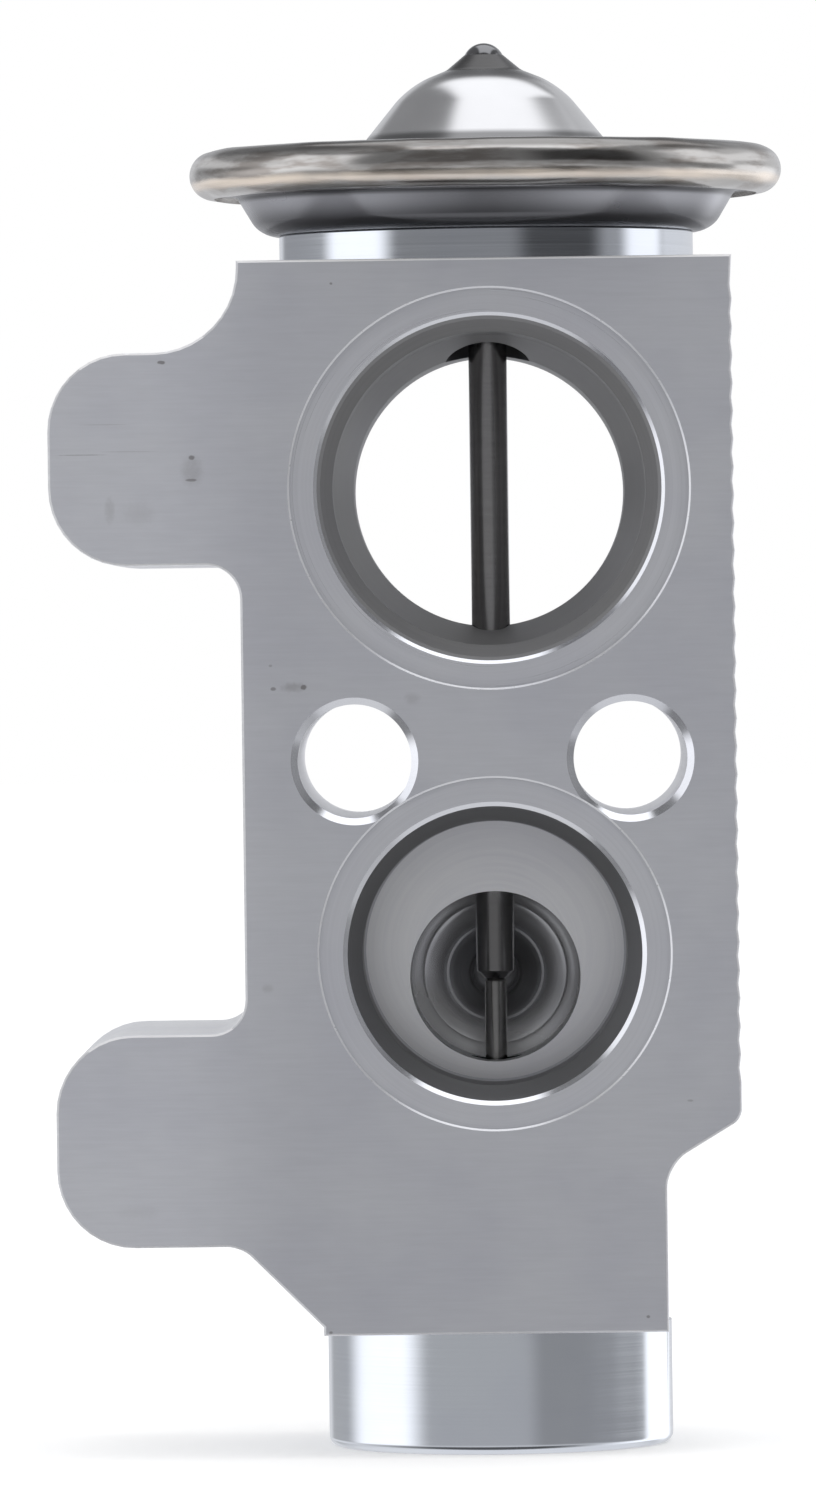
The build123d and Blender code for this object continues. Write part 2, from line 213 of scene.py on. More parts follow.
# Rod, pin, spring and screw
rod_r = rod_high.x
rod_chamfer = 0.45 * MM
rod_end_round = 0.05 * MM
rod_chamfer_round = 0.08 * MM
pin_r = pin_high.x
pin_tip = 0.1 * MM
pin_tip_length = 0.15 * MM
pin_tip_round = 0.03 * MM
wire_r = 0.6 * MM
spring_turns = 3.25
screw_gap = 0.06 * MM
screw_thread_gap = 0.02 * MM
screw_core_sink = 0.2 * MM
screw_floor = 0.6 * MM
screw_chamfer = 0.6 * MM
screw_thread_length = 3.2 * MM
screw_groove_foot = 1.7 * MM
screw_groove_width = 1.6 * MM
screw_groove_r = 4.83 * MM
screw_cup_r = 5.0 * MM
screw_rim_round = 0.2 * MM
screw_cup_lip_round = 0.1 * MM
screw_cup_foot_round = 0.3 * MM
screw_core_start = 0.05 * MM
screw_step_lap = 0.1 * MM
screw_start_sink = 0.2 * MM
screw_end_sink = 0.1 * MM
screw_end_chamfer = 0.4 * MM
hex_flats = 7.0 * MM
hex_depth = 3.2 * MM
hex_point = 0.6 * MM
hex_point_inset = 0.9 * MM

# Knocks along the front's upper edges: x and z in mm
EDGE_NICKS = [(-13.1, 29.1), (-0.3, 29.1), (4.3, 29.1), (13.2, 29.1), (-20.9, 23.82)]
nick_r = 0.5 * MM
nick_out = 0.28 * MM

# Edges flatter than this, in degrees, are shaded smooth
BLOCK_SMOOTH_ANGLE = 18
SMOOTH_ANGLE = 35

# How finely the pieces are spun and rounded
PORT_STEPS = 180
BOSS_STEPS = 240
HEAD_STEPS = 288
BEAD_STEPS = 360
BEAD_ARC = 40
SMALL_STEPS = 96
THREAD_STEPS = 96
SCREW_STEPS = 144
PIN_STEPS = 72
COIL_STEPS = 220
WIRE_STEPS = 24
BALL_ARC = 48
PLUG_ARC = 32
HEAD_ROUND_STEPS = 8
SMALL_ROUND_STEPS = 4


# Modelling

def select_only(piece):
    """Selects one object alone and makes it active."""
    bpy.ops.object.select_all(action="DESELECT")
    piece.select_set(True)
    bpy.context.view_layer.objects.active = piece


def open_piece(piece):
    """Opens one object alone for editing."""
    select_only(piece)
    bpy.ops.object.mode_set(mode="EDIT")


def close_piece():
    """Ends the editing."""
    bpy.ops.object.mode_set(mode="OBJECT")


def pick(piece, kind, wanted):
    """In edit mode, selects the vertices, edges or faces for which wanted is true, and counts them."""
    bpy.ops.mesh.select_mode(type=kind)
    bpy.ops.mesh.select_all(action="DESELECT")
    shape = bmesh.from_edit_mesh(piece.data)
    parts = {"VERT": shape.verts, "EDGE": shape.edges, "FACE": shape.faces}[kind]
    chosen = [part for part in parts if wanted(part)]
    for part in chosen:
        part.select_set(True)
    bmesh.update_edit_mesh(piece.data)
    return len(chosen)


def near(place, wanted):
    """Whether a place is the wanted one, within the tolerance."""
    return (place - wanted).length < TINY


def draw_outline(name, points):
    """Draws a closed outline by extruding one vertex from point to point and fills it. Stays in edit mode."""
    bpy.ops.object.select_all(action="DESELECT")
    bpy.ops.mesh.primitive_plane_add(size=MM, location=points[0])
    outline = bpy.context.object
    outline.name = name
    bpy.ops.object.transform_apply(location=True)
    bpy.ops.object.mode_set(mode="EDIT")
    bpy.ops.mesh.select_mode(type="VERT")
    bpy.ops.mesh.select_all(action="SELECT")
    bpy.ops.mesh.merge(type="CENTER")
    for before, point in pairwise(points):
        bpy.ops.mesh.extrude_region_move(TRANSFORM_OT_translate={"value": Vector(point) - Vector(before)})
    bpy.ops.mesh.select_all(action="SELECT")
    bpy.ops.mesh.edge_face_add()
    return outline


def round_corner(outline, corner, before, after, radius, steps):
    """Rounds one corner of a filled outline with a vertex bevel of that radius."""
    corner, before, after = Vector(corner), Vector(before), Vector(after)
    opening = (before - corner).angle(after - corner)
    pick(outline, "VERT", lambda vertex: near(vertex.co, corner))
    bpy.ops.mesh.bevel(
        offset_type="ABSOLUTE", offset=radius / tan(opening / 2), segments=steps, affect="VERTICES"
    )


def rounded_outline(name, corners, steps=12):
    """An outline from (point, radius) corners, in edit mode."""
    points = [point for point, radius in corners]
    outline = draw_outline(name, points)
    for number, (point, radius) in enumerate(corners):
        if radius:
            after = points[(number + 1) % len(points)]
            round_corner(outline, point, points[number - 1], after, radius, steps)
    return outline


def spin_outline(outline, centre, axis, steps):
    """Spins a filled outline round the axis into a closed skin. An edge that lies on the axis goes first."""
    centre, axis = Vector(centre), Vector(axis)
    bpy.ops.mesh.select_mode(type="FACE")
    bpy.ops.mesh.select_all(action="SELECT")
    bpy.ops.mesh.delete(type="ONLY_FACE")

    def on_axis(vertex):
        return (vertex.co - centre).cross(axis).length < TINY

    if pick(outline, "EDGE", lambda edge: all(on_axis(vertex) for vertex in edge.verts)):
        bpy.ops.mesh.delete(type="EDGE")
    bpy.ops.mesh.select_mode(type="VERT")
    bpy.ops.mesh.select_all(action="SELECT")
    bpy.ops.mesh.spin(steps=steps, angle=2 * pi, center=centre, axis=axis)
    bpy.ops.mesh.select_all(action="SELECT")
    bpy.ops.mesh.remove_doubles(threshold=TINY / 4)
    bpy.ops.mesh.normals_make_consistent(inside=False)
    close_piece()
    return outline


def turn_upright(name, corners, steps=HEAD_STEPS, round_steps=HEAD_ROUND_STEPS):
    """A piece turned about the valve axis from ((radius, height), rounding) corners."""
    placed = [((radius, 0, height), rounding) for (radius, height), rounding in corners]
    outline = rounded_outline(name, placed, round_steps)
    return spin_outline(outline, (0, 0, 0), (0, 0, 1), steps)


def turn_port(name, x, z, steps_along, steps=PORT_STEPS):
    """A cutter turned about a line along Y at x and z, from (y, radius) steps."""
    first_y = steps_along[0][0]
    last_y = steps_along[-1][0]
    rim = [((x + radius, y, z), 0) for y, radius in steps_along]
    outline = rounded_outline(name, [((x, first_y, z), 0), *rim, ((x, last_y, z), 0)])
    return spin_outline(outline, (x, 0, z), (0, 1, 0), steps)


def combine(piece, tool, operation):
    """Applies a boolean of the tool to the piece and removes the tool."""
    select_only(piece)
    modifier = piece.modifiers.new("combine", "BOOLEAN")
    modifier.operation = operation
    modifier.solver = "EXACT"
    modifier.object = tool
    bpy.ops.object.modifier_apply(modifier=modifier.name)
    bpy.data.objects.remove(tool)


def smooth(piece, angle=SMOOTH_ANGLE):
    """Shades curved faces smooth and keeps flat faces flat up to their broken edges."""
    select_only(piece)
    bpy.ops.object.shade_smooth_by_angle(angle=radians(angle))
    modifier = piece.modifiers.new("flat faces", "WEIGHTED_NORMAL")
    modifier.keep_sharp = True
    bpy.ops.object.modifier_apply(modifier=modifier.name)


def thread_column(name, root_r, crest_r, low_z, high_z):
    """A threaded column on the valve axis: a zigzag flank screwed through one turn and cut off flat."""
    spare = 2
    first_z = foot_z + round((low_z - foot_z) / thread_pitch - spare) * thread_pitch
    turns = round((high_z - low_z) / thread_pitch) + 2 * spare
    flank = [(root_r, 0, first_z)]
    for turn in range(turns):
        z = first_z + turn * thread_pitch
        flank.append((crest_r, 0, z + (0.5 - thread_crest_share / 2) * thread_pitch))
        flank.append((crest_r, 0, z + (0.5 + thread_crest_share / 2) * thread_pitch))
        flank.append((root_r, 0, z + thread_pitch))
    column = draw_outline(name, flank)
    bpy.ops.mesh.select_mode(type="FACE")
    bpy.ops.mesh.select_all(action="SELECT")
    bpy.ops.mesh.delete(type="ONLY_FACE")
    first, last = Vector(flank[0]), Vector(flank[-1])
    pick(column, "EDGE", lambda edge: {near(v.co, first) or near(v.co, last) for v in edge.verts} == {True})
    bpy.ops.mesh.delete(type="EDGE")
    close_piece()
    modifier = column.modifiers.new("thread", "SCREW")
    modifier.axis = "Z"
    modifier.steps = THREAD_STEPS
    modifier.render_steps = THREAD_STEPS
    modifier.screw_offset = thread_pitch
    modifier.use_merge_vertices = True
    modifier.merge_threshold = TINY / 4
    modifier.use_smooth_shade = False
    bpy.ops.object.modifier_apply(modifier=modifier.name)
    open_piece(column)
    bpy.ops.mesh.select_all(action="SELECT")
    bpy.ops.mesh.remove_doubles(threshold=TINY / 4)
    cut_flat(low_z, -1)
    cut_flat(high_z, 1)
    bpy.ops.mesh.select_all(action="SELECT")
    bpy.ops.mesh.normals_make_consistent(inside=False)
    close_piece()
    return column


def cut_flat(z, side):
    """Cuts the open piece at a level, drops what lies beyond it and closes the cut."""
    bpy.ops.mesh.select_all(action="SELECT")
    bpy.ops.mesh.bisect(plane_co=(0, 0, z), plane_no=(0, 0, side), use_fill=True, clear_outer=True)


# The block

def side_waves(low_z, high_z):
    """The saw's wavy marks on the side away from the ears, from the top down."""
    count = int((high_z - low_z) / saw_wave_pitch)
    corners = []
    for wave in range(count):
        z = high_z - (wave + 0.5) * saw_wave_pitch
        corners.append(((block_right - saw_wave_depth, front_y, z), saw_wave_pitch / 3))
        corners.append(((block_right, front_y, z - saw_wave_pitch / 2), saw_wave_pitch / 3))
    return corners


def make_block_profile():
    """The extruded section: drawn, rounded, filled and pulled through the block's thickness."""
    lower_bottom = lower_ear_z - ear_half
    diagonal_top = neck_left + lower_bottom - (block_bottom + neck_lip)
    slope_foot_z = slope_top_z - (block_right - neck_right) * tan(slope_angle)
    upper_top = upper_ear_z + ear_half
    shoulder_round = block_top - upper_top - ear_shoulder_gap
    corners = [
        ((-block_left, front_y, block_top), 0),
        ((block_right, front_y, block_top), 0),
        *side_waves(slope_top_z + saw_wave_end, block_top - saw_wave_top),
        ((block_right, front_y, slope_top_z), slope_corner),
        ((neck_right, front_y, slope_foot_z), slope_round),
        ((neck_right, front_y, block_bottom), 0),
        ((-neck_left, front_y, block_bottom), 0),
        ((-neck_left, front_y, block_bottom + neck_lip), 0),
        ((-diagonal_top, front_y, lower_bottom), ear_root_round),
        ((ear_tip, front_y, lower_bottom), ear_end_round),
        ((ear_tip, front_y, lower_ear_z + ear_half), ear_end_round),
        ((-block_left, front_y, lower_ear_z + ear_half), ear_root_round),
        ((-block_left, front_y, upper_ear_z - ear_half), ear_root_round),
        ((ear_tip, front_y, upper_ear_z - ear_half), ear_end_round),
        ((ear_tip, front_y, upper_top), ear_end_round),
        ((-block_left, front_y, upper_top), shoulder_round),
    ]
    block = rounded_outline("ported_block", corners, steps=10)
    bpy.ops.mesh.select_mode(type="FACE")
    bpy.ops.mesh.select_all(action="SELECT")
    bpy.ops.mesh.extrude_region_move(TRANSFORM_OT_translate={"value": (0, rear_y - front_y, 0)})
    bpy.ops.mesh.select_all(action="SELECT")
    bpy.ops.mesh.normals_make_consistent(inside=False)
    return block


def break_edges(block):
    """Breaks the sharp edges round the front and rear faces."""

    def round_a_face(edge):
        ends = [vertex.co.y for vertex in edge.verts]
        return any(all(abs(y - face_y) < TINY for y in ends) for face_y in (front_y, rear_y))

    pick(block, "EDGE", round_a_face)
    bpy.ops.mesh.bevel(offset=edge_break, segments=2, affect="EDGES")
    close_piece()


def make_block():
    """The block: the extruded section with its turned bosses, then every hole cut into it."""
    block = make_block_profile()
    break_edges(block)
    foot_boss = turn_upright("foot_boss", [
        ((0, foot_z), 0),
        ((boss_r, foot_z), foot_edge_round),
        ((boss_r, block_bottom + boss_overlap), 0),
        ((0, block_bottom + boss_lap), 0),
    ], BOSS_STEPS)
    head_boss = turn_upright("head_boss", [
        ((0, block_top - boss_lap), 0),
        ((head_boss_r, block_top - boss_lap), 0),
        ((head_boss_r, head_seat_z), head_boss_round),
        ((0, head_seat_z), 0),
    ], BOSS_STEPS)
    combine(block, foot_boss, "UNION")
    combine(block, head_boss, "UNION")
    for cutter in block_cutters():
        combine(block, cutter, "DIFFERENCE")
    combine(block, make_nicks(), "DIFFERENCE")
    smooth(block, BLOCK_SMOOTH_ANGLE)
    return block


def block_cutters():
    """Every hole of the block, in the order in which a machinist would cut them."""
    yield from bolt_cutters()
    yield from port_cutters()
    yield from axis_cutters()


def bolt_cutters():
    """The two bolt holes, countersunk from both faces."""
    sink_r = bolt_r + mouth_chamfer * (1 + overcut / mouth_chamfer_depth)
    for side in (-1, 1):
        yield turn_port("bolt_hole", side * bolt_x, 0, [
            (front_y - overcut, sink_r),
            (front_y + mouth_chamfer_depth, bolt_r),
            (rear_y - mouth_chamfer_depth, bolt_r),
            (rear_y + overcut, sink_r),
        ], SMALL_STEPS)


def port_cutters():
    """The ports with their spotfaces and chamfers, and the throat behind the outlet."""
    out = front_y - overcut
    back = rear_y + overcut
    spot_y = front_y + spot_depth
    rear_spot_y = rear_y - spot_depth
    yield turn_port("suction_way", 0, suction_z, [
        (out, suction_spot_r),
        (spot_y - spot_lip_depth, suction_spot_r),
        (spot_y, suction_spot_r - spot_lip),
        (spot_y, suction_mouth_r + mouth_chamfer),
        (spot_y + mouth_chamfer_depth / 2, suction_mouth_r + mouth_chamfer / 2),
        (spot_y + mouth_chamfer_depth, suction_mouth_r),
        (spot_y + suction_entry_depth, suction_wide_r),
        (suction_step_y, suction_wide_r),
        (suction_cone_end_y, suction_r),
        (suction_rear_floor_y, suction_r),
        (suction_rear_floor_y, suction_rear_r),
        (rear_spot_y - mouth_chamfer, suction_rear_r),
        (rear_spot_y, suction_rear_r + mouth_chamfer),
        (rear_spot_y, suction_spot_r),
        (back, suction_spot_r),
    ])
    yield turn_port("outlet_way", 0, outlet_z, [
        (out, outlet_spot_r),
        (spot_y - spot_lip_depth, outlet_spot_r),
        (spot_y, outlet_spot_r - spot_lip),
        (spot_y, outlet_mouth_r + outlet_chamfer),
        (spot_y + outlet_chamfer_depth, outlet_mouth_r),
        (front_y + outlet_entry_depth, outlet_r),
        (outlet_floor_y - outlet_floor_chamfer, outlet_r),
        (outlet_floor_y, outlet_r - outlet_floor_chamfer),
    ])
    yield turn_port("throat", 0, throat_z, [
        (outlet_floor_y - throat_lead, throat_r),
        (throat_end_y, throat_r),
        *ringed_cone(),
    ])
    yield turn_port("inlet_way", 0, inlet_z, [
        (0, feed_r),
        (inlet_floor_y, feed_r),
        (inlet_floor_y, inlet_r - inlet_floor_round),
        (inlet_floor_y + inlet_floor_round, inlet_r),
        (rear_spot_y - mouth_chamfer, inlet_r),
        (rear_spot_y, inlet_r + mouth_chamfer),
        (rear_spot_y, inlet_spot_r),
        (back, inlet_spot_r),
    ])


def axis_cutters():
    """What is bored along the valve axis: the head's socket, the rod's way, the chamber and its thread."""
    guide_r = rod_r + rod_gap
    groove_r = head_socket_r + head_groove_width
    groove_z = head_seat_z - head_groove_depth
    floor_z = block_top - head_socket_depth
    yield turn_upright("head_socket", [
        ((0, throat_z), 0),
        ((guide_r, throat_z), 0),
        ((guide_r, suction_z), 0),
        ((rod_well_r, suction_z), 0),
        ((rod_well_r, floor_z), 0),
        ((head_socket_r, floor_z), 0),
        ((head_socket_r, groove_z), 0),
        ((groove_r, groove_z), 0),
        ((groove_r, head_seat_z + overcut), 0),
        ((0, head_seat_z + overcut), 0),
    ], PORT_STEPS)
    thread_root_r = thread_r - thread_depth
    yield turn_upright("ball_chamber", [
        ((0, foot_z - overcut), 0),
        ((thread_r + thread_mouth, foot_z - overcut), 0),
        ((thread_root_r, foot_z + thread_mouth_depth), 0),
        ((thread_root_r, foot_z + seal_bore_low), 0),
        ((seal_bore_r, foot_z + seal_bore_low), 0),
        ((seal_bore_r, foot_z + seal_bore_high), 0),
        ((chamber_r, foot_z + seal_bore_high), 0),
        ((chamber_r, seat_z), 0),
        ((orifice_r, seat_z), 0),
        ((orifice_r, throat_z), 0),
        ((0, throat_z), 0),
    ], PORT_STEPS)
    low_z, high_z = foot_z + bore_thread_low, foot_z + bore_thread_high
    yield thread_column("bore_thread", thread_root_r - thread_sink, thread_r, low_z, high_z)


def ringed_cone():
    """The drilled end of the throat: a flat cone with the shallow rings that the drill left in it."""
    steps = 2 * throat_rings
    points = []
    for step in range(1, steps + 1):
        uneven = throat_ring_wander * sin(5 * step) if step < steps else 0
        radius = throat_r + (throat_tip_r - throat_r) * step / steps + uneven
        groove = throat_ring_depth + throat_ring_change * sin(3 * step) if step % 2 else 0
        points.append((throat_end_y + (throat_r - radius) / tan(throat_cone_angle) + groove, radius))
    return points


def make_nicks():
    """Small knocks along the front edges, as one tool of pebbles that bite into them."""
    pebbles = []
    for x, z in EDGE_NICKS:
        place = (x * MM, front_y - nick_out, z * MM + nick_out)
        bpy.ops.mesh.primitive_ico_sphere_add(subdivisions=2, radius=nick_r, location=place)
        bpy.ops.object.transform_apply(location=True)
        pebbles.append(bpy.context.object)
    for pebble in pebbles:
        pebble.select_set(True)
    bpy.ops.object.join()
    return bpy.context.object


# The power head

def make_cup():
    """The lower cover, pressed from sheet, with its neck in the block."""
    neck_end = cup_low.z
    flange_top = cup_high.z
    flange_bottom = flange_top - sheet
    return turn_upright("pressed_cup", [
        ((neck_r - neck_wall, neck_end), 0),
        ((neck_r, neck_end), 0),
        ((neck_r, head_seat_z), 0),
        ((cup_floor_r, head_seat_z), cup_floor_round),
        ((cup_mouth_r, flange_bottom), cup_mouth_round),
        ((flange_r, flange_bottom), 0),
        ((flange_r, flange_top), 0),
        ((cup_mouth_r - sheet / 2, flange_top), cup_inner_mouth_round),
        ((cup_floor_r - sheet, head_seat_z + sheet), cup_inner_floor_round),
        ((neck_r - neck_wall, head_seat_z + sheet), neck_inner_round),
    ])


def make_dome():
    """The upper cover: flange, cone, crown and the collar round the filling plug, as one folded sheet."""
    top = dome_low.z + sheet
    shoulder = (dome_base_r - dome_rise / tan(dome_angle), top + dome_rise)
    foot = (collar_foot_r, shoulder[1] + (shoulder[0] - collar_foot_r) * tan(crown_angle))
    lip = (collar_r, foot[1] + (collar_foot_r - collar_r) * tan(collar_angle))
    outer = [(flange_r, top), (dome_base_r, top), shoulder, foot, lip]
    rounds = [0, dome_foot_round, dome_shoulder_round, collar_foot_round, 0]
    dome = turn_upright("pressed_dome", sheet_corners(outer, rounds))
    ball = turn_upright("plug_seat", ball_corners(plug_z, plug_r + plug_gap), SMALL_STEPS)
    combine(dome, ball, "DIFFERENCE")
    return dome


def sheet_corners(outer, rounds):
    """Corners of a folded sheet's section: the outer line, then the inner line one thickness below it."""
    way_out = []
    way_back = []
    for number, rounding in enumerate(rounds):
        here = Vector(outer[number])
        before = Vector(outer[number - 1]) if number else None
        after = Vector(outer[number + 1]) if number < len(outer) - 1 else None
        into = (here - before).normalized() if before else (after - here).normalized()
        away = (after - here).normalized() if after else into
        side_in = Vector((into.y, -into.x))
        side_away = Vector((away.y, -away.x))
        miter = (side_in + side_away).normalized()
        inner = here - miter * (sheet / miter.dot(side_in))
        folds_up = into.x * away.y - into.y * away.x < 0
        inner_rounding = rounding + sheet if folds_up else rounding - sheet
        way_out.append((tuple(here), rounding))
        way_back.append((tuple(inner), inner_rounding if rounding else 0))
    return way_out + way_back[::-1]


def ball_corners(centre_z, radius, steps=PLUG_ARC):
    """A half circle, from its lowest point to its highest."""
    angles = [-pi / 2 + pi * step / steps for step in range(steps + 1)]
    return [((radius * abs(cos(angle)) * (0 < n < steps), centre_z + radius * sin(angle)), 0)
            for n, angle in enumerate(angles)]


def make_weld():
    """The bead that closes the two covers' rims, a little uneven along its way."""
    lap_r = flange_r - bead_lap
    centre_r = rim_r - bead_r
    reach = (lap_r - centre_r) / bead_r
    start = atan2((1 - reach**2) ** 0.5, reach)
    arc = [start - 2 * start * step / BEAD_ARC for step in range(BEAD_ARC + 1)]
    section = [((centre_r + bead_r * cos(angle), rim_z + bead_r * sin(angle)), 0) for angle in arc]
    weld = turn_upright("weld_bead", section, BEAD_STEPS)
    unevenness = bpy.data.textures.new("bead_unevenness", "CLOUDS")
    unevenness.noise_scale = bead_ripple_size
    unevenness.noise_depth = 0
    ripple = weld.modifiers.new("ripple", "DISPLACE")
    ripple.texture = unevenness
    ripple.texture_coords = "LOCAL"
    ripple.strength = bead_ripple
    ripple.mid_level = 1.0
    select_only(weld)
    bpy.ops.object.modifier_apply(modifier=ripple.name)
    return weld


def make_plug():
    """The ball that closes the filling hole."""
    return turn_upright("filling_plug", ball_corners(plug_z, plug_r), SMALL_STEPS)


# Moving pieces and the adjuster

def make_rod():
    """The push rod, with a wide chamfer where it meets the pin."""
    small = rod_r - rod_chamfer
    half = rod_chamfer / 2
    return turn_upright("ground_rod", [
        ((0, rod_low.z), 0),
        ((small, rod_low.z), rod_end_round),
        ((rod_r, rod_low.z + rod_chamfer), rod_chamfer_round),
        ((rod_r, rod_high.z - half), 0),
        ((rod_r - half, rod_high.z), 0),
        ((0, rod_high.z), 0),
    ], SMALL_STEPS, SMALL_ROUND_STEPS)


def make_pin():
    """The pin under the rod, a little rounded where the rod meets it."""
    return turn_upright("valve_needle", [
        ((0, pin_low.z), 0),
        ((pin_r, pin_low.z), 0),
        ((pin_r, pin_high.z - pin_tip_length), pin_tip_round),
        ((pin_r - pin_tip, pin_high.z), pin_tip_round),
        ((0, pin_high.z), 0),
    ], PIN_STEPS, SMALL_ROUND_STEPS)


def make_ball():
    """The valve ball under the seat."""
    centre = (ball_low.z + ball_high.z) / 2
    return turn_upright("lapped_ball", ball_corners(centre, ball_high.x, BALL_ARC), SMALL_STEPS)


def make_spring():
    """The bias spring: a round wire section screwed up the valve axis."""
    mean_r = spring_high.x - wire_r
    rise = spring_high.z - spring_low.z - 2 * wire_r
    bpy.ops.object.select_all(action="DESELECT")
    bpy.ops.mesh.primitive_circle_add(
        vertices=WIRE_STEPS, radius=wire_r,
        location=(mean_r, 0, spring_low.z + wire_r), rotation=(pi / 2, 0, 0),
    )
    wire = bpy.context.object
    wire.name = "coiled_spring"
    bpy.ops.object.transform_apply(location=True, rotation=True)
    modifier = wire.modifiers.new("coil", "SCREW")
    modifier.axis = "Z"
    modifier.angle = 2 * pi * spring_turns
    modifier.screw_offset = rise
    modifier.steps = COIL_STEPS
    modifier.render_steps = COIL_STEPS
    modifier.iterations = 1
    bpy.ops.object.modifier_apply(modifier=modifier.name)
    open_piece(wire)
    pick(wire, "EDGE", lambda edge: edge.is_boundary)
    bpy.ops.mesh.edge_face_add()
    bpy.ops.mesh.select_all(action="SELECT")
    bpy.ops.mesh.normals_make_consistent(inside=False)
    close_piece()
    return wire


def make_screw():
    """The adjusting screw: its turned body, with its thread cut to fit the bore's, and the hex socket."""
    bottom, top = screw_low.z, screw_high.z
    outer_r = screw_high.x - screw_thread_gap
    root_r = outer_r - thread_depth
    nose_r = seal_bore_r - screw_gap
    core_r = nose_r - screw_core_sink
    step_z = bottom + screw_thread_length
    groove_z = step_z + screw_groove_foot
    groove_top = groove_z + screw_groove_width
    seat = groove_top + screw_floor
    screw = turn_upright("hex_screw", [
        ((0, bottom + screw_core_start), 0),
        ((core_r, bottom + screw_core_start), 0),
        ((core_r, step_z - screw_step_lap), 0),
        ((nose_r, step_z - screw_step_lap), 0),
        ((nose_r, groove_z), 0),
        ((screw_groove_r, groove_z), 0),
        ((screw_groove_r, groove_top), 0),
        ((nose_r, groove_top), 0),
        ((nose_r, top), screw_rim_round),
        ((screw_cup_r, top), screw_cup_lip_round),
        ((screw_cup_r, seat), screw_cup_foot_round),
        ((0, seat), 0),
    ], SCREW_STEPS, SMALL_ROUND_STEPS)
    thread = thread_column(
        "screw_thread", root_r - thread_sink, outer_r - thread_sink, bottom - overcut, step_z + overcut
    )
    chamfers = turn_upright("screw_chamfers", [
        ((0, bottom), 0),
        ((root_r - screw_start_sink, bottom), 0),
        ((outer_r, bottom + screw_chamfer), 0),
        ((outer_r, step_z - screw_end_chamfer), 0),
        ((root_r - screw_end_sink, step_z), 0),
        ((0, step_z), 0),
    ], SMALL_STEPS)
    combine(thread, chamfers, "INTERSECT")
    combine(screw, thread, "UNION")
    combine(screw, make_hex_key(bottom), "DIFFERENCE")
    return screw


def make_hex_key(bottom):
    """The tool for the screw's hex socket, with a blunt point at its end."""
    bpy.ops.object.select_all(action="DESELECT")
    bpy.ops.mesh.primitive_cylinder_add(
        vertices=6, radius=hex_flats / 2 / cos(pi / 6), depth=2 * hex_depth,
        location=(0, 0, bottom), rotation=(0, 0, pi / 6),
    )
    key = bpy.context.object
    bpy.ops.object.transform_apply(location=True, rotation=True)
    open_piece(key)
    pick(key, "FACE", lambda face: face.normal.z > 0.9)
    bpy.ops.mesh.inset(thickness=hex_point_inset)
    bpy.ops.transform.translate(value=(0, 0, hex_point))
    close_piece()
    return key


# Shader tools

def node(tree, kind, feeds=(), **settings):
    """Adds a node. feeds gives its inputs, by name or number, a value or another node's output."""
    made = tree.nodes.new(kind)
    for setting, value in settings.items():
        setattr(made, setting, value)
    for place, value in dict(feeds).items():
        if isinstance(value, bpy.types.NodeSocket):
            tree.links.new(value, made.inputs[place])
        else:
            made.inputs[place].default_value = value
    return made


def sums(tree, operation, *values):
    """The result of one Math node."""
    return node(tree, "ShaderNodeMath", enumerate(values), operation=operation).outputs[0]


def sum_of_squares(tree, first, second):
    """The sum of two values' squares."""
    return sums(tree, "ADD", sums(tree, "MULTIPLY", first, first), sums(tree, "MULTIPLY", second, second))


def blend(tree, share, first, second):
    """A number part of the way from the first to the second."""
    return node(tree, "ShaderNodeMix", {0: share, 2: first, 3: second}).outputs[0]


def tint(tree, share, first, second, mode="MIX"):
    """A colour part of the way from the first to the second."""
    mixed = node(tree, "ShaderNodeMix", {0: share, 6: first, 7: second}, data_type="RGBA", blend_type=mode)
    return mixed.outputs[2]


def ease(tree, value, low, high, at_low=0.0, at_high=1.0):
    """A smooth step of the value between two levels."""
    feeds = {0: value, 1: low, 2: high, 3: at_low, 4: at_high}
    return node(tree, "ShaderNodeMapRange", feeds, interpolation_type="SMOOTHSTEP").outputs[0]


def band(tree, value, centre, half, soft):
    """1 within half of the centre, falling smoothly to 0 over the soft edge."""
    away = sums(tree, "ABSOLUTE", sums(tree, "SUBTRACT", value, centre))
    return ease(tree, away, half, half + soft, 1.0, 0.0)


def noise(tree, vector, scale, detail=2.0, roughness=0.5):
    """One noise texture's value, from 0 to 1."""
    feeds = {"Vector": vector, "Scale": scale, "Detail": detail, "Roughness": roughness}
    return node(tree, "ShaderNodeTexNoise", feeds).outputs["Fac"]


def stretched(tree, vector, scale):
    """A vector multiplied by another, axis by axis."""
    return node(tree, "ShaderNodeVectorMath", {0: vector, 1: scale}, operation="MULTIPLY").outputs[0]


def in_mm(tree, vector):
    """A place given in metres, in millimetres."""
    return stretched(tree, vector, (1000, 1000, 1000))


def new_group(name, inputs, outputs):
    """A shader node group with its named sockets, its entry and its exit."""
    group = bpy.data.node_groups.new(name, "ShaderNodeTree")
    for label, kind, value in inputs:
        socket = group.interface.new_socket(name=label, in_out="INPUT", socket_type=kind)
        if value is not None:
            socket.default_value = value
    for label, kind in outputs:
        group.interface.new_socket(name=label, in_out="OUTPUT", socket_type=kind)
    return group, group.nodes.new("NodeGroupInput").outputs, group.nodes.new("NodeGroupOutput").inputs


def place_group(tree, group, **feeds):
    """Places a shader node group. An underscore in an input's keyword stands for a space in its name."""
    placed = node(tree, "ShaderNodeGroup", node_tree=group)
    for label, value in feeds.items():
        socket = placed.inputs[label.replace("_", " ")]
        if isinstance(value, bpy.types.NodeSocket):
            tree.links.new(value, socket)
        else:
            socket.default_value = value
    return placed.outputs


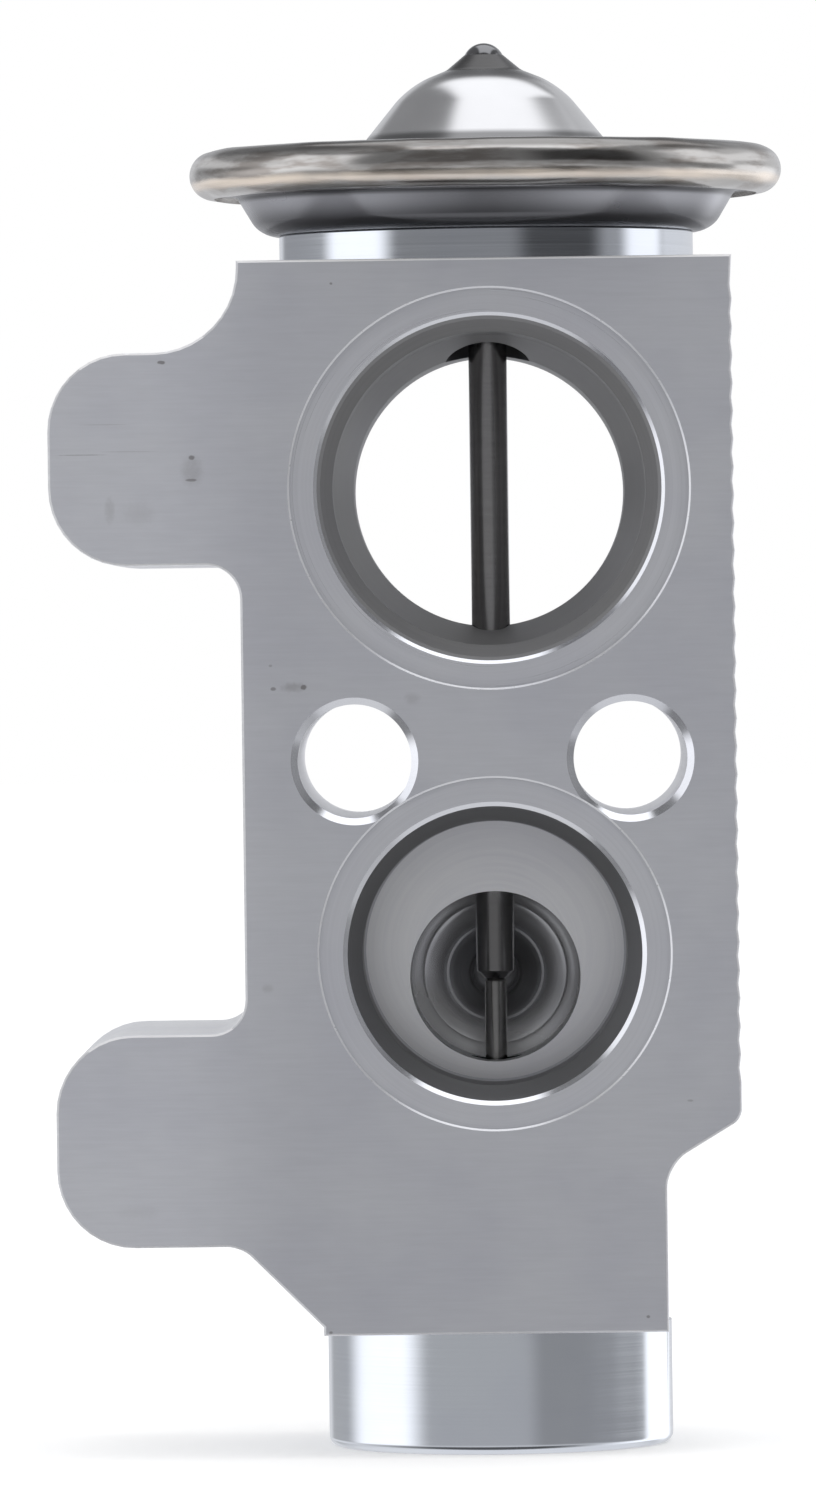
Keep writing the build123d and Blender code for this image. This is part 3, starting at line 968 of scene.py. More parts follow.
# Marks on the front face: x, z, half width and half height in mm, and how dark
FRONT_SPECKS = [
    (-17.2, 17.72, 0.20, 0.16, 0.6),
    (-17.25, 16.42, 0.40, 0.10, 0.55),
    (-18.9, 23.25, 0.26, 0.12, 0.6),
    (-23.6, 17.95, 1.6, 0.045, 0.25),
    (-20.8, 18.12, 1.8, 0.04, 0.15),
    (-22.3, 19.7, 1.6, 0.04, 0.15),
    (-12.65, 4.26, 0.18, 0.13, 0.5),
    (-10.9, 4.33, 0.22, 0.17, 0.65),
    (-12.8, 5.6, 0.12, 0.09, 0.3),
    (-9.0, 27.7, 0.1, 0.08, 0.5),
    (11.2, -19.9, 0.2, 0.08, 0.3),
    (-9.8, -33.1, 0.12, 0.1, 0.5),
    (8.6, -32.4, 0.13, 0.11, 0.5),
]
FRONT_STAINS = [
    (-17.2, 16.95, 0.75, 1.0, 0.2),
    (-11.5, 4.33, 0.85, 0.35, 0.28),
    (-22.0, 14.7, 0.35, 0.9, 0.16),
    (-20.3, 14.5, 1.1, 0.8, 0.09),
    (-4.6, 3.6, 0.55, 0.42, 0.16),
    (-13.2, -13.1, 0.4, 0.3, 0.16),
    (-21.0, -26.0, 1.6, 0.5, 0.06),
]

VECTOR = "NodeSocketVector"
NUMBER = "NodeSocketFloat"

# How far the fine marks of a finish rise
MARK_HEIGHT = 0.01 * MM


def build_turned_marks():
    """Fine circles that a lathe leaves about the Z axis, on walls and on floors alike."""
    inputs = [("Vector", VECTOR, None), ("Marks per mm", NUMBER, 9.0), ("Depth", NUMBER, 0.1)]
    group, entry, exit_ = new_group("turned marks", inputs, [("Marks", NUMBER), ("Normal", VECTOR)])
    place = node(group, "ShaderNodeSeparateXYZ", {0: in_mm(group, entry["Vector"])})
    x, y, z = place.outputs
    across = sums(group, "SQRT", sum_of_squares(group, x, y))
    angle = sums(group, "ARCTAN2", y, x)
    radius = sums(group, "MULTIPLY", across, entry["Marks per mm"])
    height = sums(group, "MULTIPLY", z, entry["Marks per mm"])
    around = node(group, "ShaderNodeCombineXYZ", {0: radius, 1: height, 2: sums(group, "COSINE", angle)})
    fine = noise(group, around.outputs[0], 1.0, 3.0, 0.65)
    broad = noise(group, around.outputs[0], 0.22, 1.0)
    marks = blend(group, 0.35, fine, broad)
    relief = {"Strength": entry["Depth"], "Distance": MARK_HEIGHT, "Height": marks}
    bump = node(group, "ShaderNodeBump", relief)
    group.links.new(marks, exit_["Marks"])
    group.links.new(bump.outputs[0], exit_["Normal"])
    return group


def build_brushed_marks():
    """Fine straight lines along X, as a belt or a saw leaves them."""
    inputs = [("Vector", VECTOR, None), ("Lines per mm", NUMBER, 7.0), ("Depth", NUMBER, 0.1)]
    group, entry, exit_ = new_group("brushed marks", inputs, [("Marks", NUMBER), ("Normal", VECTOR)])
    place = in_mm(group, entry["Vector"])
    long_lines = stretched(group, place, (0.035, 0.3, 1.0))
    short_lines = stretched(group, place, (0.14, 0.3, 1.0))
    per_mm = entry["Lines per mm"]
    fine = noise(group, long_lines, per_mm, 3.0, 0.7)
    broken = noise(group, short_lines, sums(group, "MULTIPLY", per_mm, 0.45), 2.0, 0.6)
    marks = blend(group, 0.4, fine, broken)
    relief = {"Strength": entry["Depth"], "Distance": MARK_HEIGHT, "Height": marks}
    bump = node(group, "ShaderNodeBump", relief)
    group.links.new(marks, exit_["Marks"])
    group.links.new(bump.outputs[0], exit_["Normal"])
    return group


def build_handling_marks():
    """Sparse dark specks and short scuffs from handling, and the broad unevenness of a rubbed surface."""
    inputs = [("Vector", VECTOR, None), ("Specks per mm", NUMBER, 0.2), ("Amount", NUMBER, 0.1)]
    group, entry, exit_ = new_group("handling marks", inputs, [("Specks", NUMBER), ("Cloud", NUMBER)])
    place = in_mm(group, entry["Vector"])
    flat = stretched(group, place, (0.55, 1.0, 1.0))
    ragged = node(group, "ShaderNodeTexNoise", {"Vector": place, "Scale": 3.0, "Detail": 2.0})
    bent = stretched(group, ragged.outputs["Color"], (0.5, 0.5, 0.5))
    moved = node(group, "ShaderNodeVectorMath", {0: flat, 1: bent}, operation="ADD").outputs[0]
    cells = node(group, "ShaderNodeTexVoronoi", {"Vector": moved, "Scale": entry["Specks per mm"]})
    chance = node(group, "ShaderNodeSeparateColor", {0: cells.outputs["Color"]}).outputs[0]
    chosen = sums(group, "LESS_THAN", chance, entry["Amount"])
    spot = ease(group, cells.outputs["Distance"], 0.03, 0.075, 1.0, 0.0)
    group.links.new(sums(group, "MULTIPLY", spot, chosen), exit_["Specks"])
    group.links.new(noise(group, place, 0.11, 3.0, 0.6), exit_["Cloud"])
    return group


def add_patches(tree, x, z, ragged, patches, inner, outer):
    """The darkest of some ragged oval patches, each fading from the inner to the outer distance."""
    total = None
    for patch_x, patch_z, half_wide, half_high, dark in patches:
        across = sums(tree, "DIVIDE", sums(tree, "SUBTRACT", x, patch_x), half_wide)
        along = sums(tree, "DIVIDE", sums(tree, "SUBTRACT", z, patch_z), half_high)
        away = sum_of_squares(tree, across, along)
        patch = ease(tree, sums(tree, "ADD", away, ragged), inner, outer, dark, 0.0)
        total = patch if total is None else sums(tree, "MAXIMUM", total, patch)
    return total


def build_front_marks():
    """The specks and stains of the front face."""
    group, entry, exit_ = new_group("front marks", [("Vector", VECTOR, None)], [("Dark", NUMBER)])
    place = in_mm(group, entry["Vector"])
    x, y, z = node(group, "ShaderNodeSeparateXYZ", {0: place}).outputs
    ragged = sums(group, "MULTIPLY_ADD", noise(group, place, 5.0, 2.0), 0.9, -0.45)
    specks = add_patches(group, x, z, ragged, FRONT_SPECKS, 0.25, 1.1)
    stains = add_patches(group, x, z, ragged, FRONT_STAINS, -0.3, 1.2)
    on_front = ease(group, y, front_y / MM + 0.05, front_y / MM + 0.2, 1.0, 0.0)
    group.links.new(sums(group, "MULTIPLY", sums(group, "MAXIMUM", specks, stains), on_front), exit_["Dark"])
    return group


def build_heat_tint():
    """Straw and brown bands that welding heat leaves on steel, strongest at a given radius."""
    inputs = [("Vector", VECTOR, None), ("Radius", NUMBER, rim_r), ("Width", NUMBER, 2 * MM)]
    group, entry, exit_ = new_group("heat tint", inputs, [("Heat", NUMBER)])
    place = node(group, "ShaderNodeSeparateXYZ", {0: entry["Vector"]}).outputs
    radius = sums(group, "SQRT", sum_of_squares(group, place[0], place[1]))
    away = sums(group, "ABSOLUTE", sums(group, "SUBTRACT", radius, entry["Radius"]))
    share = sums(group, "SUBTRACT", 1.0, sums(group, "DIVIDE", away, entry["Width"]))
    patches = noise(group, in_mm(group, entry["Vector"]), 0.35, 3.0, 0.6)
    heat = sums(group, "MULTIPLY", ease(group, share, 0.0, 1.0), ease(group, patches, 0.3, 0.7, 0.45, 1.0))
    group.links.new(heat, exit_["Heat"])
    return group


turned_marks = build_turned_marks()
brushed_marks = build_brushed_marks()
handling_marks = build_handling_marks()
front_marks = build_front_marks()
heat_tint = build_heat_tint()


# Materials

def begin_material(name, turn=(0, 0, 0), centre=(0, 0, 0), metallic=1.0):
    """A metal with its shader and the place that its patterns read, centred and turned by a Mapping node."""
    material = bpy.data.materials.new(name)
    material.use_nodes = True
    tree = material.node_tree
    shader = tree.nodes["Principled BSDF"]
    shader.inputs["Metallic"].default_value = metallic
    own = node(tree, "ShaderNodeTexCoord").outputs["Object"]
    feeds = {"Vector": own, "Location": centre, "Rotation": turn}
    place = node(tree, "ShaderNodeMapping", feeds, vector_type="TEXTURE").outputs[0]
    return material, tree, shader, place


def metal_finish(tree, shader, marks, colour, contrast, roughness, spread):
    """Lets the marks lighten and darken the metal a little and roughen it."""
    light = [min(channel * (1 + contrast), 1) for channel in colour] + [1]
    dark = [channel * (1 - contrast) for channel in colour] + [1]
    base = tint(tree, ease(tree, marks, 0.25, 0.75), dark, light)
    rough = ease(tree, marks, 0.2, 0.8, roughness - spread, roughness + spread)
    tree.links.new(rough, shader.inputs["Roughness"])
    tree.links.new(base, shader.inputs["Base Color"])
    return base


def brushed_metal(name, colour, roughness, lines=7.0, depth=0.1, contrast=0.05, specks=0.1, turn=(0, 0, 0),
                  metallic=1.0):
    """Metal with straight brushed lines, faint clouds and a few specks."""
    material, tree, shader, place = begin_material(name, turn, metallic=metallic)
    lined = place_group(tree, brushed_marks, Vector=place, Lines_per_mm=lines, Depth=depth)
    handled = place_group(tree, handling_marks, Vector=place, Amount=specks)
    base = metal_finish(tree, shader, lined["Marks"], colour, contrast, roughness, 0.05)
    clouded = tint(tree, ease(tree, handled["Cloud"], 0.3, 0.7), base, (0.93, 0.93, 0.95, 1), "MULTIPLY")
    specked = tint(tree, handled["Specks"], clouded, (0.12, 0.12, 0.12, 1))
    tree.links.new(specked, shader.inputs["Base Color"])
    tree.links.new(lined["Normal"], shader.inputs["Normal"])
    return material


def scale_colour(material, share):
    """Multiplies a finished metal's colour by a share."""
    tree = material.node_tree
    colour = tree.nodes["Principled BSDF"].inputs["Base Color"]
    feeds = {0: colour.links[0].from_socket, "Scale": share}
    shaded = node(tree, "ShaderNodeVectorMath", feeds, operation="SCALE")
    tree.links.new(shaded.outputs[0], colour)


def paint_light_along(material, direction, low, high, at_low, at_high):
    """Paints light or shade into a finished metal's colour along a direction, between two levels in metres.
    """
    tree = material.node_tree
    own = node(tree, "ShaderNodeTexCoord").outputs["Object"]
    level = node(tree, "ShaderNodeVectorMath", {0: own, 1: direction}, operation="DOT_PRODUCT")
    scale_colour(material, ease(tree, level.outputs["Value"], low, high, at_low, at_high))


def paint_shade_ring(material, centre, across, radius, half, soft, level):
    """Paints shade into a finished metal's colour in a ring round an axis. across is 0 along that axis and 1
    across it.
    """
    tree = material.node_tree
    own = node(tree, "ShaderNodeTexCoord").outputs["Object"]
    moved = node(tree, "ShaderNodeVectorMath", {0: own, 1: centre}, operation="SUBTRACT").outputs[0]
    away = node(tree, "ShaderNodeVectorMath", {0: stretched(tree, moved, across)}, operation="LENGTH")
    scale_colour(material, blend(tree, band(tree, away.outputs["Value"], radius, half, soft), 1.0, level))


def milled_metal():
    """The faces across the block: a grey brushed finish, painted lighter towards the ears where they catch
    more light, and its marks.
    """
    grey = (0.53, 0.538, 0.572)
    material = brushed_metal("milled_aluminium", grey, 0.38, 7.0, 0.1, 0.035, 0.05, metallic=0.5)
    # Painted light: the colour rises towards the ears, where the face catches more light
    paint_light_along(material, (1, 0, 0), -20 * MM, -11 * MM, 1.17, 1.0)
    tree = material.node_tree
    colour = tree.nodes["Principled BSDF"].inputs["Base Color"]
    own = node(tree, "ShaderNodeTexCoord").outputs["Object"]
    dark = place_group(tree, front_marks, Vector=own)["Dark"]
    tree.links.new(tint(tree, dark, colour.links[0].from_socket, (0.09, 0.075, 0.065, 1)), colour)
    return material


def turned_metal(name, colour, roughness, marks=9.0, depth=0.1, contrast=0.05, centre=(0, 0, 0),
                 turn=(0, 0, 0), metallic=1.0):
    """Metal with the fine circles of a lathe, about an axis of its own."""
    material, tree, shader, place = begin_material(name, turn, centre, metallic)
    ringed = place_group(tree, turned_marks, Vector=place, Marks_per_mm=marks, Depth=depth)
    handled = place_group(tree, handling_marks, Vector=place, Amount=0.04)
    base = metal_finish(tree, shader, ringed["Marks"], colour, contrast, roughness, 0.04)
    clouded = tint(tree, ease(tree, handled["Cloud"], 0.35, 0.7), base, (0.95, 0.95, 0.97, 1), "MULTIPLY")
    tree.links.new(clouded, shader.inputs["Base Color"])
    tree.links.new(ringed["Normal"], shader.inputs["Normal"])
    return material


def ported_metal(name, z, colour, roughness, marks=9.0, depth=0.1, metallic=1.0):
    """Turned metal whose circles lie about a port's own axis, which runs along Y."""
    return turned_metal(name, colour, roughness, marks, depth, 0.05, (0, 0, z), (pi / 2, 0, 0), metallic)


def dull(material, metallic):
    """Makes a finish more matt, as on a rough drilled wall or on scaled sheet, which hardly mirror."""
    shader = material.node_tree.nodes["Principled BSDF"]
    shader.inputs["Metallic"].default_value = metallic
    shader.inputs["Specular IOR Level"].default_value = 0.1


def pressed_metal(name, colour, roughness, heat_r, heat_width, heat_colour):
    """Pressed stainless with faint circles and a heat tint near the weld."""
    material, tree, shader, place = begin_material(name)
    ringed = place_group(tree, turned_marks, Vector=place, Marks_per_mm=5.0, Depth=0.05)
    handled = place_group(tree, handling_marks, Vector=place, Amount=0.05)
    heated = place_group(tree, heat_tint, Vector=place, Radius=heat_r, Width=heat_width)
    base = metal_finish(tree, shader, handled["Cloud"], colour, 0.06, roughness, 0.05)
    hot = tint(tree, heated["Heat"], base, (*heat_colour, 1))
    tree.links.new(hot, shader.inputs["Base Color"])
    tree.links.new(ringed["Normal"], shader.inputs["Normal"])
    return material


def weld_metal():
    """The bead: remelted steel with a painted highlight below its middle, a pale band in the tan of burnt
    steel, and brown mottling above it.
    """
    material, tree, shader, place = begin_material("weld_steel")
    handled = place_group(tree, handling_marks, Vector=place, Amount=0.1)
    streaks = noise(tree, stretched(tree, place, (260, 260, 1500)), 1.0, 3.0, 0.55)
    base = metal_finish(tree, shader, handled["Cloud"], (0.60, 0.58, 0.55), 0.08, 0.2, 0.04)
    mottled = tint(tree, ease(tree, streaks, 0.42, 0.66, 0.0, 0.6), base, (0.24, 0.20, 0.17, 1))
    z = node(tree, "ShaderNodeSeparateXYZ", {0: place}).outputs[2]
    level = sums(tree, "ADD", z, sums(tree, "MULTIPLY", streaks, 0.3 * MM))
    # Painted highlight: a pale, less metallic band below the bead's middle, tinted tan like the weld's real
    # heat tint
    pale = band(tree, level, rim_z - 0.56 * MM, 0.06 * MM, 0.36 * MM)
    pale = sums(tree, "MULTIPLY", pale, ease(tree, handled["Cloud"], 0.35, 0.6, 0.6, 1.0))
    banded = tint(tree, pale, mottled, (0.88, 0.77, 0.66, 1))
    bump = node(tree, "ShaderNodeBump", {"Strength": 0.12, "Distance": 0.05 * MM, "Height": streaks})
    tree.links.new(banded, shader.inputs["Base Color"])
    tree.links.new(blend(tree, pale, 1.0, 0.45), shader.inputs["Metallic"])
    tree.links.new(bump.outputs[0], shader.inputs["Normal"])
    return material


def rubber():
    """The seal rings' black rubber, with a fine grain."""
    material, tree, shader, place = begin_material("seal_rubber")
    shader.inputs["Metallic"].default_value = 0.0
    shader.inputs["Sheen Weight"].default_value = 0.1
    grain = noise(tree, in_mm(tree, place), 6.0, 3.0)
    colour = tint(tree, grain, (0.02, 0.02, 0.022, 1), (0.045, 0.045, 0.05, 1))
    bump = node(tree, "ShaderNodeBump", {"Strength": 0.2, "Distance": MARK_HEIGHT, "Height": grain})
    tree.links.new(colour, shader.inputs["Base Color"])
    tree.links.new(ease(tree, grain, 0.3, 0.7, 0.5, 0.7), shader.inputs["Roughness"])
    tree.links.new(bump.outputs[0], shader.inputs["Normal"])
    return material


# Where each finish goes

# Turns a brushed finish so that its lines run through the block's depth
ALONG_DEPTH = (0, 0, pi / 2)


def paint_faces(piece, material, wanted):
    """Gives a material to the faces for which wanted is true."""
    piece.data.materials.append(material)
    open_piece(piece)
    pick(piece, "FACE", wanted)
    piece.active_material_index = len(piece.data.materials) - 1
    bpy.ops.object.material_slot_assign()
    close_piece()


def faces_along_y(face):
    """A test for the faces that look forwards or back."""
    return abs(face.normal.y) > 0.95


def within_port(z, radius, side):
    """A test for faces inside a port's reach, on the front (-1) or the rear (1) half."""

    def wanted(face):
        place = face.calc_center_median()
        inside = hypot(place.x, place.z - z) < radius + TINY
        depth = (place.y - front_y) if side < 0 else (rear_y - place.y)
        return inside and depth > 0.02 * MM and place.y * side > -4 * MM

    return wanted


def wall_of_port(z, radius, side):
    """A test for the walls of a port, without its floors and its mouth chamfer."""
    inside = within_port(z, radius, side)
    return lambda face: abs(face.normal.y) < 0.6 and inside(face)


def in_rod_bores(face):
    """A test for the rod's well and guide and for the chamber under the seat."""
    reach = max(hypot(vertex.co.x, vertex.co.y) for vertex in face.verts)
    height = face.calc_center_median().z
    in_chamber = foot_z + seal_bore_high - 0.2 * MM < height < seat_z + TINY
    return reach < rod_well_r + 0.1 * MM or (reach < chamber_r + TINY and in_chamber)


def in_bolt_hole(face):
    """A test for the straight walls of the bolt holes."""
    return all(hypot(abs(vertex.co.x) - bolt_x, vertex.co.z) < bolt_r + TINY for vertex in face.verts)


def in_ring(face, x, z, low_r, high_r):
    """Whether a sloping face lies between two radii about a hole's axis."""
    reaches = [hypot(vertex.co.x - x, vertex.co.z - z) for vertex in face.verts]
    inside = min(reaches) > low_r - 5 * TINY and max(reaches) < high_r + 5 * TINY
    return inside and 0.3 < abs(face.normal.y) < 0.95


def on_mouth_chamfer(face):
    """A test for the chamfers round the front ports' mouths and the bolt holes."""
    rings = [
        (0, suction_z, suction_mouth_r + mouth_chamfer / 2, suction_mouth_r + mouth_chamfer),
        (0, outlet_z, outlet_mouth_r, outlet_mouth_r + outlet_chamfer),
        (-bolt_x, 0, bolt_r, bolt_r + mouth_chamfer),
        (bolt_x, 0, bolt_r, bolt_r + mouth_chamfer),
    ]
    return any(in_ring(face, *ring) for ring in rings)


def on_spot_lip(face):
    """A test for the soft corners round the front ports' spotfaces."""
    lips = [(suction_z, suction_spot_r), (outlet_z, outlet_spot_r)]
    return any(in_ring(face, 0, z, radius - spot_lip, radius) for z, radius in lips)


def on_upper_edge(face):
    """A test for the broken edges round the front face that look up, which get a painted highlight."""
    depths = [vertex.co.y - front_y for vertex in face.verts]
    return max(depths) < edge_break + TINY and face.normal.z > 0.3 and face.normal.y < -0.1


def on_boss(face):
    """A test for the turned walls of the foot boss and the head boss."""
    place = face.calc_center_median()
    out = hypot(place.x, place.y)
    low = place.z < block_bottom + TINY and out > boss_r - 0.8 * MM
    high = place.z > block_top - TINY and out > head_boss_r - 0.3 * MM
    return (low or high) and abs(face.normal.z) < 0.98


def in_suction_mouth(face):
    """A test for the inner half of the suction port's chamfer, painted with the same shade as the wall behind
    it.
    """
    return in_ring(face, 0, suction_z, suction_mouth_r, suction_mouth_r + mouth_chamfer / 2)


def on_outlet_floor(face):
    """A test for the flat floor at the outlet's end, round the throat."""
    place = face.calc_center_median()
    inside = hypot(place.x, place.z - outlet_z) < outlet_r + TINY
    return inside and abs(face.normal.y) > 0.9 and abs(place.y - outlet_floor_y) < 0.3 * MM


def in_throat(face):
    """A test for all faces of the throat behind the outlet."""
    place = face.calc_center_median()
    inside = hypot(place.x, place.z - throat_z) < throat_r + TINY
    return inside and outlet_floor_y + 0.01 * MM < place.y < throat_end_y + 3 * MM


def on_throat_end(face):
    """A test for the drilled cone at the throat's end."""
    return face.normal.y < -0.5 and in_throat(face)


def finish_block():
    """Gives the block its finishes, face by face. Where two overlap, the later one holds."""
    drawn = (0.82, 0.825, 0.84)
    block.data.materials.append(
        brushed_metal("drawn_aluminium", drawn, 0.34, 5.0, 0.12, 0.05, 0.05, ALONG_DEPTH, 0.5)
    )
    paint_faces(block, milled_metal(), faces_along_y)
    finish_ports()
    finish_throat()
    finish_edges()


def finish_ports():
    """The rings round the ports and the walls inside them, whose darker colour is painted shade."""
    ring_grey = (0.55, 0.557, 0.59)
    # The walls are darker copies of the rings' aluminium: painted shade inside the bores
    rear_wall = (0.36, 0.36, 0.365)
    suction_wall_shade = (0.25, 0.25, 0.255)
    outlet_wall_shade = (0.32, 0.32, 0.325)
    ports = [
        ("suction", suction_z, suction_spot_r, suction_mouth_r, -1, suction_wall_shade),
        ("outlet", outlet_z, outlet_spot_r, outlet_mouth_r, -1, outlet_wall_shade),
        ("hose_side", suction_z, suction_spot_r, suction_rear_r, 1, rear_wall),
        ("inlet", inlet_z, inlet_spot_r, inlet_r, 1, rear_wall),
    ]
    for name, z, spot_r, mouth_r, side, wall in ports:
        ring = ported_metal(name + "_aluminium", z, ring_grey, 0.3, metallic=0.5)
        paint_faces(block, ring, within_port(z, spot_r, side))
        bore = ported_metal(name + "_wall", z, wall, 0.5, 7.0, 0.2, metallic=0.9)
        if name in ("suction", "hose_side"):
            dull(bore, 0.4)
        paint_faces(block, bore, wall_of_port(z, mouth_r, side))
    # Painted shade: the inner half of the suction mouth's chamfer takes the wall's dark colour
    mouth = ported_metal("suction_mouth", suction_z, suction_wall_shade, 0.5, 7.0, 0.2)
    dull(mouth, 0.4)
    paint_faces(block, mouth, in_suction_mouth)


def finish_throat():
    """The outlet's floor, the throat behind it with its drilled end, and the bores along the axis, with light
    and shade painted into the floor, the drilled end and the bores.
    """
    floor_painted_light_grey = (0.95, 0.95, 0.97)
    wall_grey = (0.86, 0.87, 0.885)
    end_grey = (0.8, 0.8, 0.81)
    painted_shade_grey = (0.16, 0.16, 0.165)
    # Painted light: the outlet's floor is a lighter copy of the aluminium, lit up deep in the port
    floor = ported_metal("floor_painted_light_aluminium", outlet_z, floor_painted_light_grey, 0.34, 5.0, 0.15, metallic=0.75)
    paint_faces(block, floor, on_outlet_floor)
    wall = ported_metal("throat_wall", throat_z, wall_grey, 0.3, 6.0, 0.3, metallic=0.8)
    paint_faces(block, wall, in_throat)
    throat_end = ported_metal("throat_end", throat_z, end_grey, 0.24, 2.4, 0.6, metallic=0.75)
    # Painted light and shade: the drilled end is lighter towards the lower left, darker at the top, and
    # darker in its middle
    paint_light_along(throat_end, (0.35, 0, 0.9), throat_z - 3.5 * MM, throat_z + 3 * MM, 1.5, 0.85)
    paint_shade_ring(throat_end, (0, 0, throat_z), (1, 0, 1), 0, 2.1 * MM, 1.7 * MM, 0.25)
    paint_faces(block, throat_end, on_throat_end)
    # Painted shade: the rod's well and guide and the chamber are a near-black copy of the aluminium
    paint_faces(block, turned_metal("bore_painted_shade_aluminium", painted_shade_grey, 0.5, 7.0, 0.2), in_rod_bores)


def finish_edges():
    """The bolt holes, the chamfers and lips, the broken upper edges with a painted highlight, and the turned
    bosses.
    """
    hole_grey = (0.9, 0.9, 0.91)
    cut_grey = (0.8, 0.805, 0.82)
    upper_edge_highlight_grey = (0.85, 0.85, 0.86)
    boss_grey = (0.87, 0.9, 0.935)
    drilled = brushed_metal("drilled_aluminium", hole_grey, 0.32, 5.0, 0.2, turn=ALONG_DEPTH)
    paint_faces(block, drilled, in_bolt_hole)
    chamfers = turned_metal("chamfer_aluminium", cut_grey, 0.16, 7.0, 0.05, 0.03)
    paint_faces(block, chamfers, on_mouth_chamfer)
    lips = turned_metal("lip_aluminium", cut_grey, 0.3, 7.0, 0.05, 0.03, metallic=0.6)
    paint_faces(block, lips, on_spot_lip)
    # Painted highlight: only the broken edges that look up get this lighter, matt copy
    broken = brushed_metal("upper_edge_painted_highlight_aluminium", upper_edge_highlight_grey, 0.4, 7.0, 0.05, metallic=0.15)
    paint_faces(block, broken, on_upper_edge)
    turned = turned_metal("turned_aluminium", boss_grey, 0.13, 9.0, 0.06, 0.03)
    paint_faces(block, turned, on_boss)


def on_collar(face):
    """A test for the dome's collar round the filling plug, which is painted dark as shade."""
    reach = max(hypot(vertex.co.x, vertex.co.y) for vertex in face.verts)
    return reach < collar_foot_r + 0.45 * MM and face.calc_center_median().z > dome_high.z - 1.9 * MM


def on_flange(face):
    """A test for the dome's flat flange."""
    reach = min(hypot(vertex.co.x, vertex.co.y) for vertex in face.verts)
    return face.normal.z > 0.97 and reach > dome_base_r + 0.4 * MM


def finish_pieces():
    """The head, the rod with what moves under it, and the screw."""
    steel = (0.66, 0.655, 0.65)
    straw = (0.50, 0.43, 0.35)
    brass = (0.72, 0.58, 0.32)
    finishes = {
        cup: pressed_metal("cup_steel", (0.42, 0.42, 0.44), 0.24, rim_r, 3 * MM, straw),
        dome: pressed_metal("dome_steel", steel, 0.2, rim_r, 6 * MM, straw),
        weld: weld_metal(),
        plug: turned_metal("plug_steel", (0.22, 0.22, 0.22), 0.16, 6.0, 0.03, 0.03),
        rod: turned_metal("rod_steel", (0.43, 0.42, 0.41), 0.22, 8.0, 0.08, 0.06),
        pin: turned_metal("pin_steel", (0.42, 0.41, 0.39), 0.24, 8.0, 0.08, 0.06),
        ball: turned_metal("ball_steel", (0.62, 0.62, 0.62), 0.1, 4.0, 0.02, 0.02),
        spring: brushed_metal("spring_steel", (0.55, 0.55, 0.55), 0.25, 6.0, 0.1, 0.08, 0.0),
        screw: turned_metal("screw_brass", brass, 0.24, 7.0, 0.12, 0.06),
    }
    # Painted shade: the cup darkens towards its floor, and a painted shadow makes a dark line under the bead
    paint_light_along(finishes[cup], (0, 0, 1), head_seat_z + 0.5 * MM, head_seat_z + 1.8 * MM, 0.3, 1.0)
    paint_light_along(finishes[cup], (0, 0, 1), head_seat_z + 1.85 * MM, head_seat_z + 2.15 * MM, 1.0, 0.25)
    # Painted shade: a dark ring at the fold round the dome's base, and a dark patch on the crown round the
    # collar
    paint_shade_ring(finishes[dome], (0, 0, 0), (1, 1, 0), 7.25 * MM, 0.25 * MM, 0.3 * MM, 0.35)
    paint_shade_ring(finishes[dome], (0, 0, 0), (1, 1, 0), 0, 2.9 * MM, 1.2 * MM, 0.35)
    # Painted shade: the bead's top is darker
    paint_light_along(finishes[weld], (0, 0, 1), rim_z + 0.7 * MM, rim_z + 1.0 * MM, 1.0, 0.45)
    # Painted shade: the rod darkens towards its lower end, deep in the block
    paint_light_along(finishes[rod], (0, 0, 1), -6 * MM, 6 * MM, 0.62, 1.0)
    for piece, finish in finishes.items():
        piece.data.materials.append(finish)
    # Painted shade: the collar is a near-black copy of the dome's steel
    collar = turned_metal("collar_painted_shade_steel", (0.10, 0.098, 0.095), 0.3, 6.0, 0.1, 0.1)
    paint_faces(dome, collar, on_collar)
    flange = pressed_metal("flange_steel", steel, 0.34, rim_r, 3.5 * MM, straw)
    dull(flange, 0.5)
    paint_faces(dome, flange, on_flange)


def finish_inner_pieces():
    """The pieces that keep the frame's own meshes."""
    turned_brass = turned_metal("carrier_brass", (0.70, 0.56, 0.30), 0.26, 7.0, 0.12, 0.06)
    seal = rubber()
    inner = {
        "head_diaphragm": turned_metal("foil_steel", (0.62, 0.62, 0.62), 0.2, 3.0, 0.04, 0.03),
        "damping_ring": brushed_metal("damper_steel", (0.60, 0.60, 0.60), 0.28, 6.0, 0.1, 0.05, 0.0),
        "diaphragm_support": turned_brass,
        "ball_carrier": turned_brass,
        "head_seal_ring": seal,
        "adjuster_seal_ring": seal,
    }
    for name, finish in inner.items():
        mesh = frame["nodes"][name].data
        mesh.materials.clear()
        mesh.materials.append(finish)


# Studio

# The camera stands in front of the block and looks a little down, to the left and tilted
CAMERA_PLACE = (0.53 * MM, -662.5 * MM, 7.39 * MM)
CAMERA_PITCH = 89.4036
CAMERA_YAW = 0.4777
CAMERA_ROLL = -0.75
CAMERA_LENS = 269.26
CAMERA_SENSOR = 36

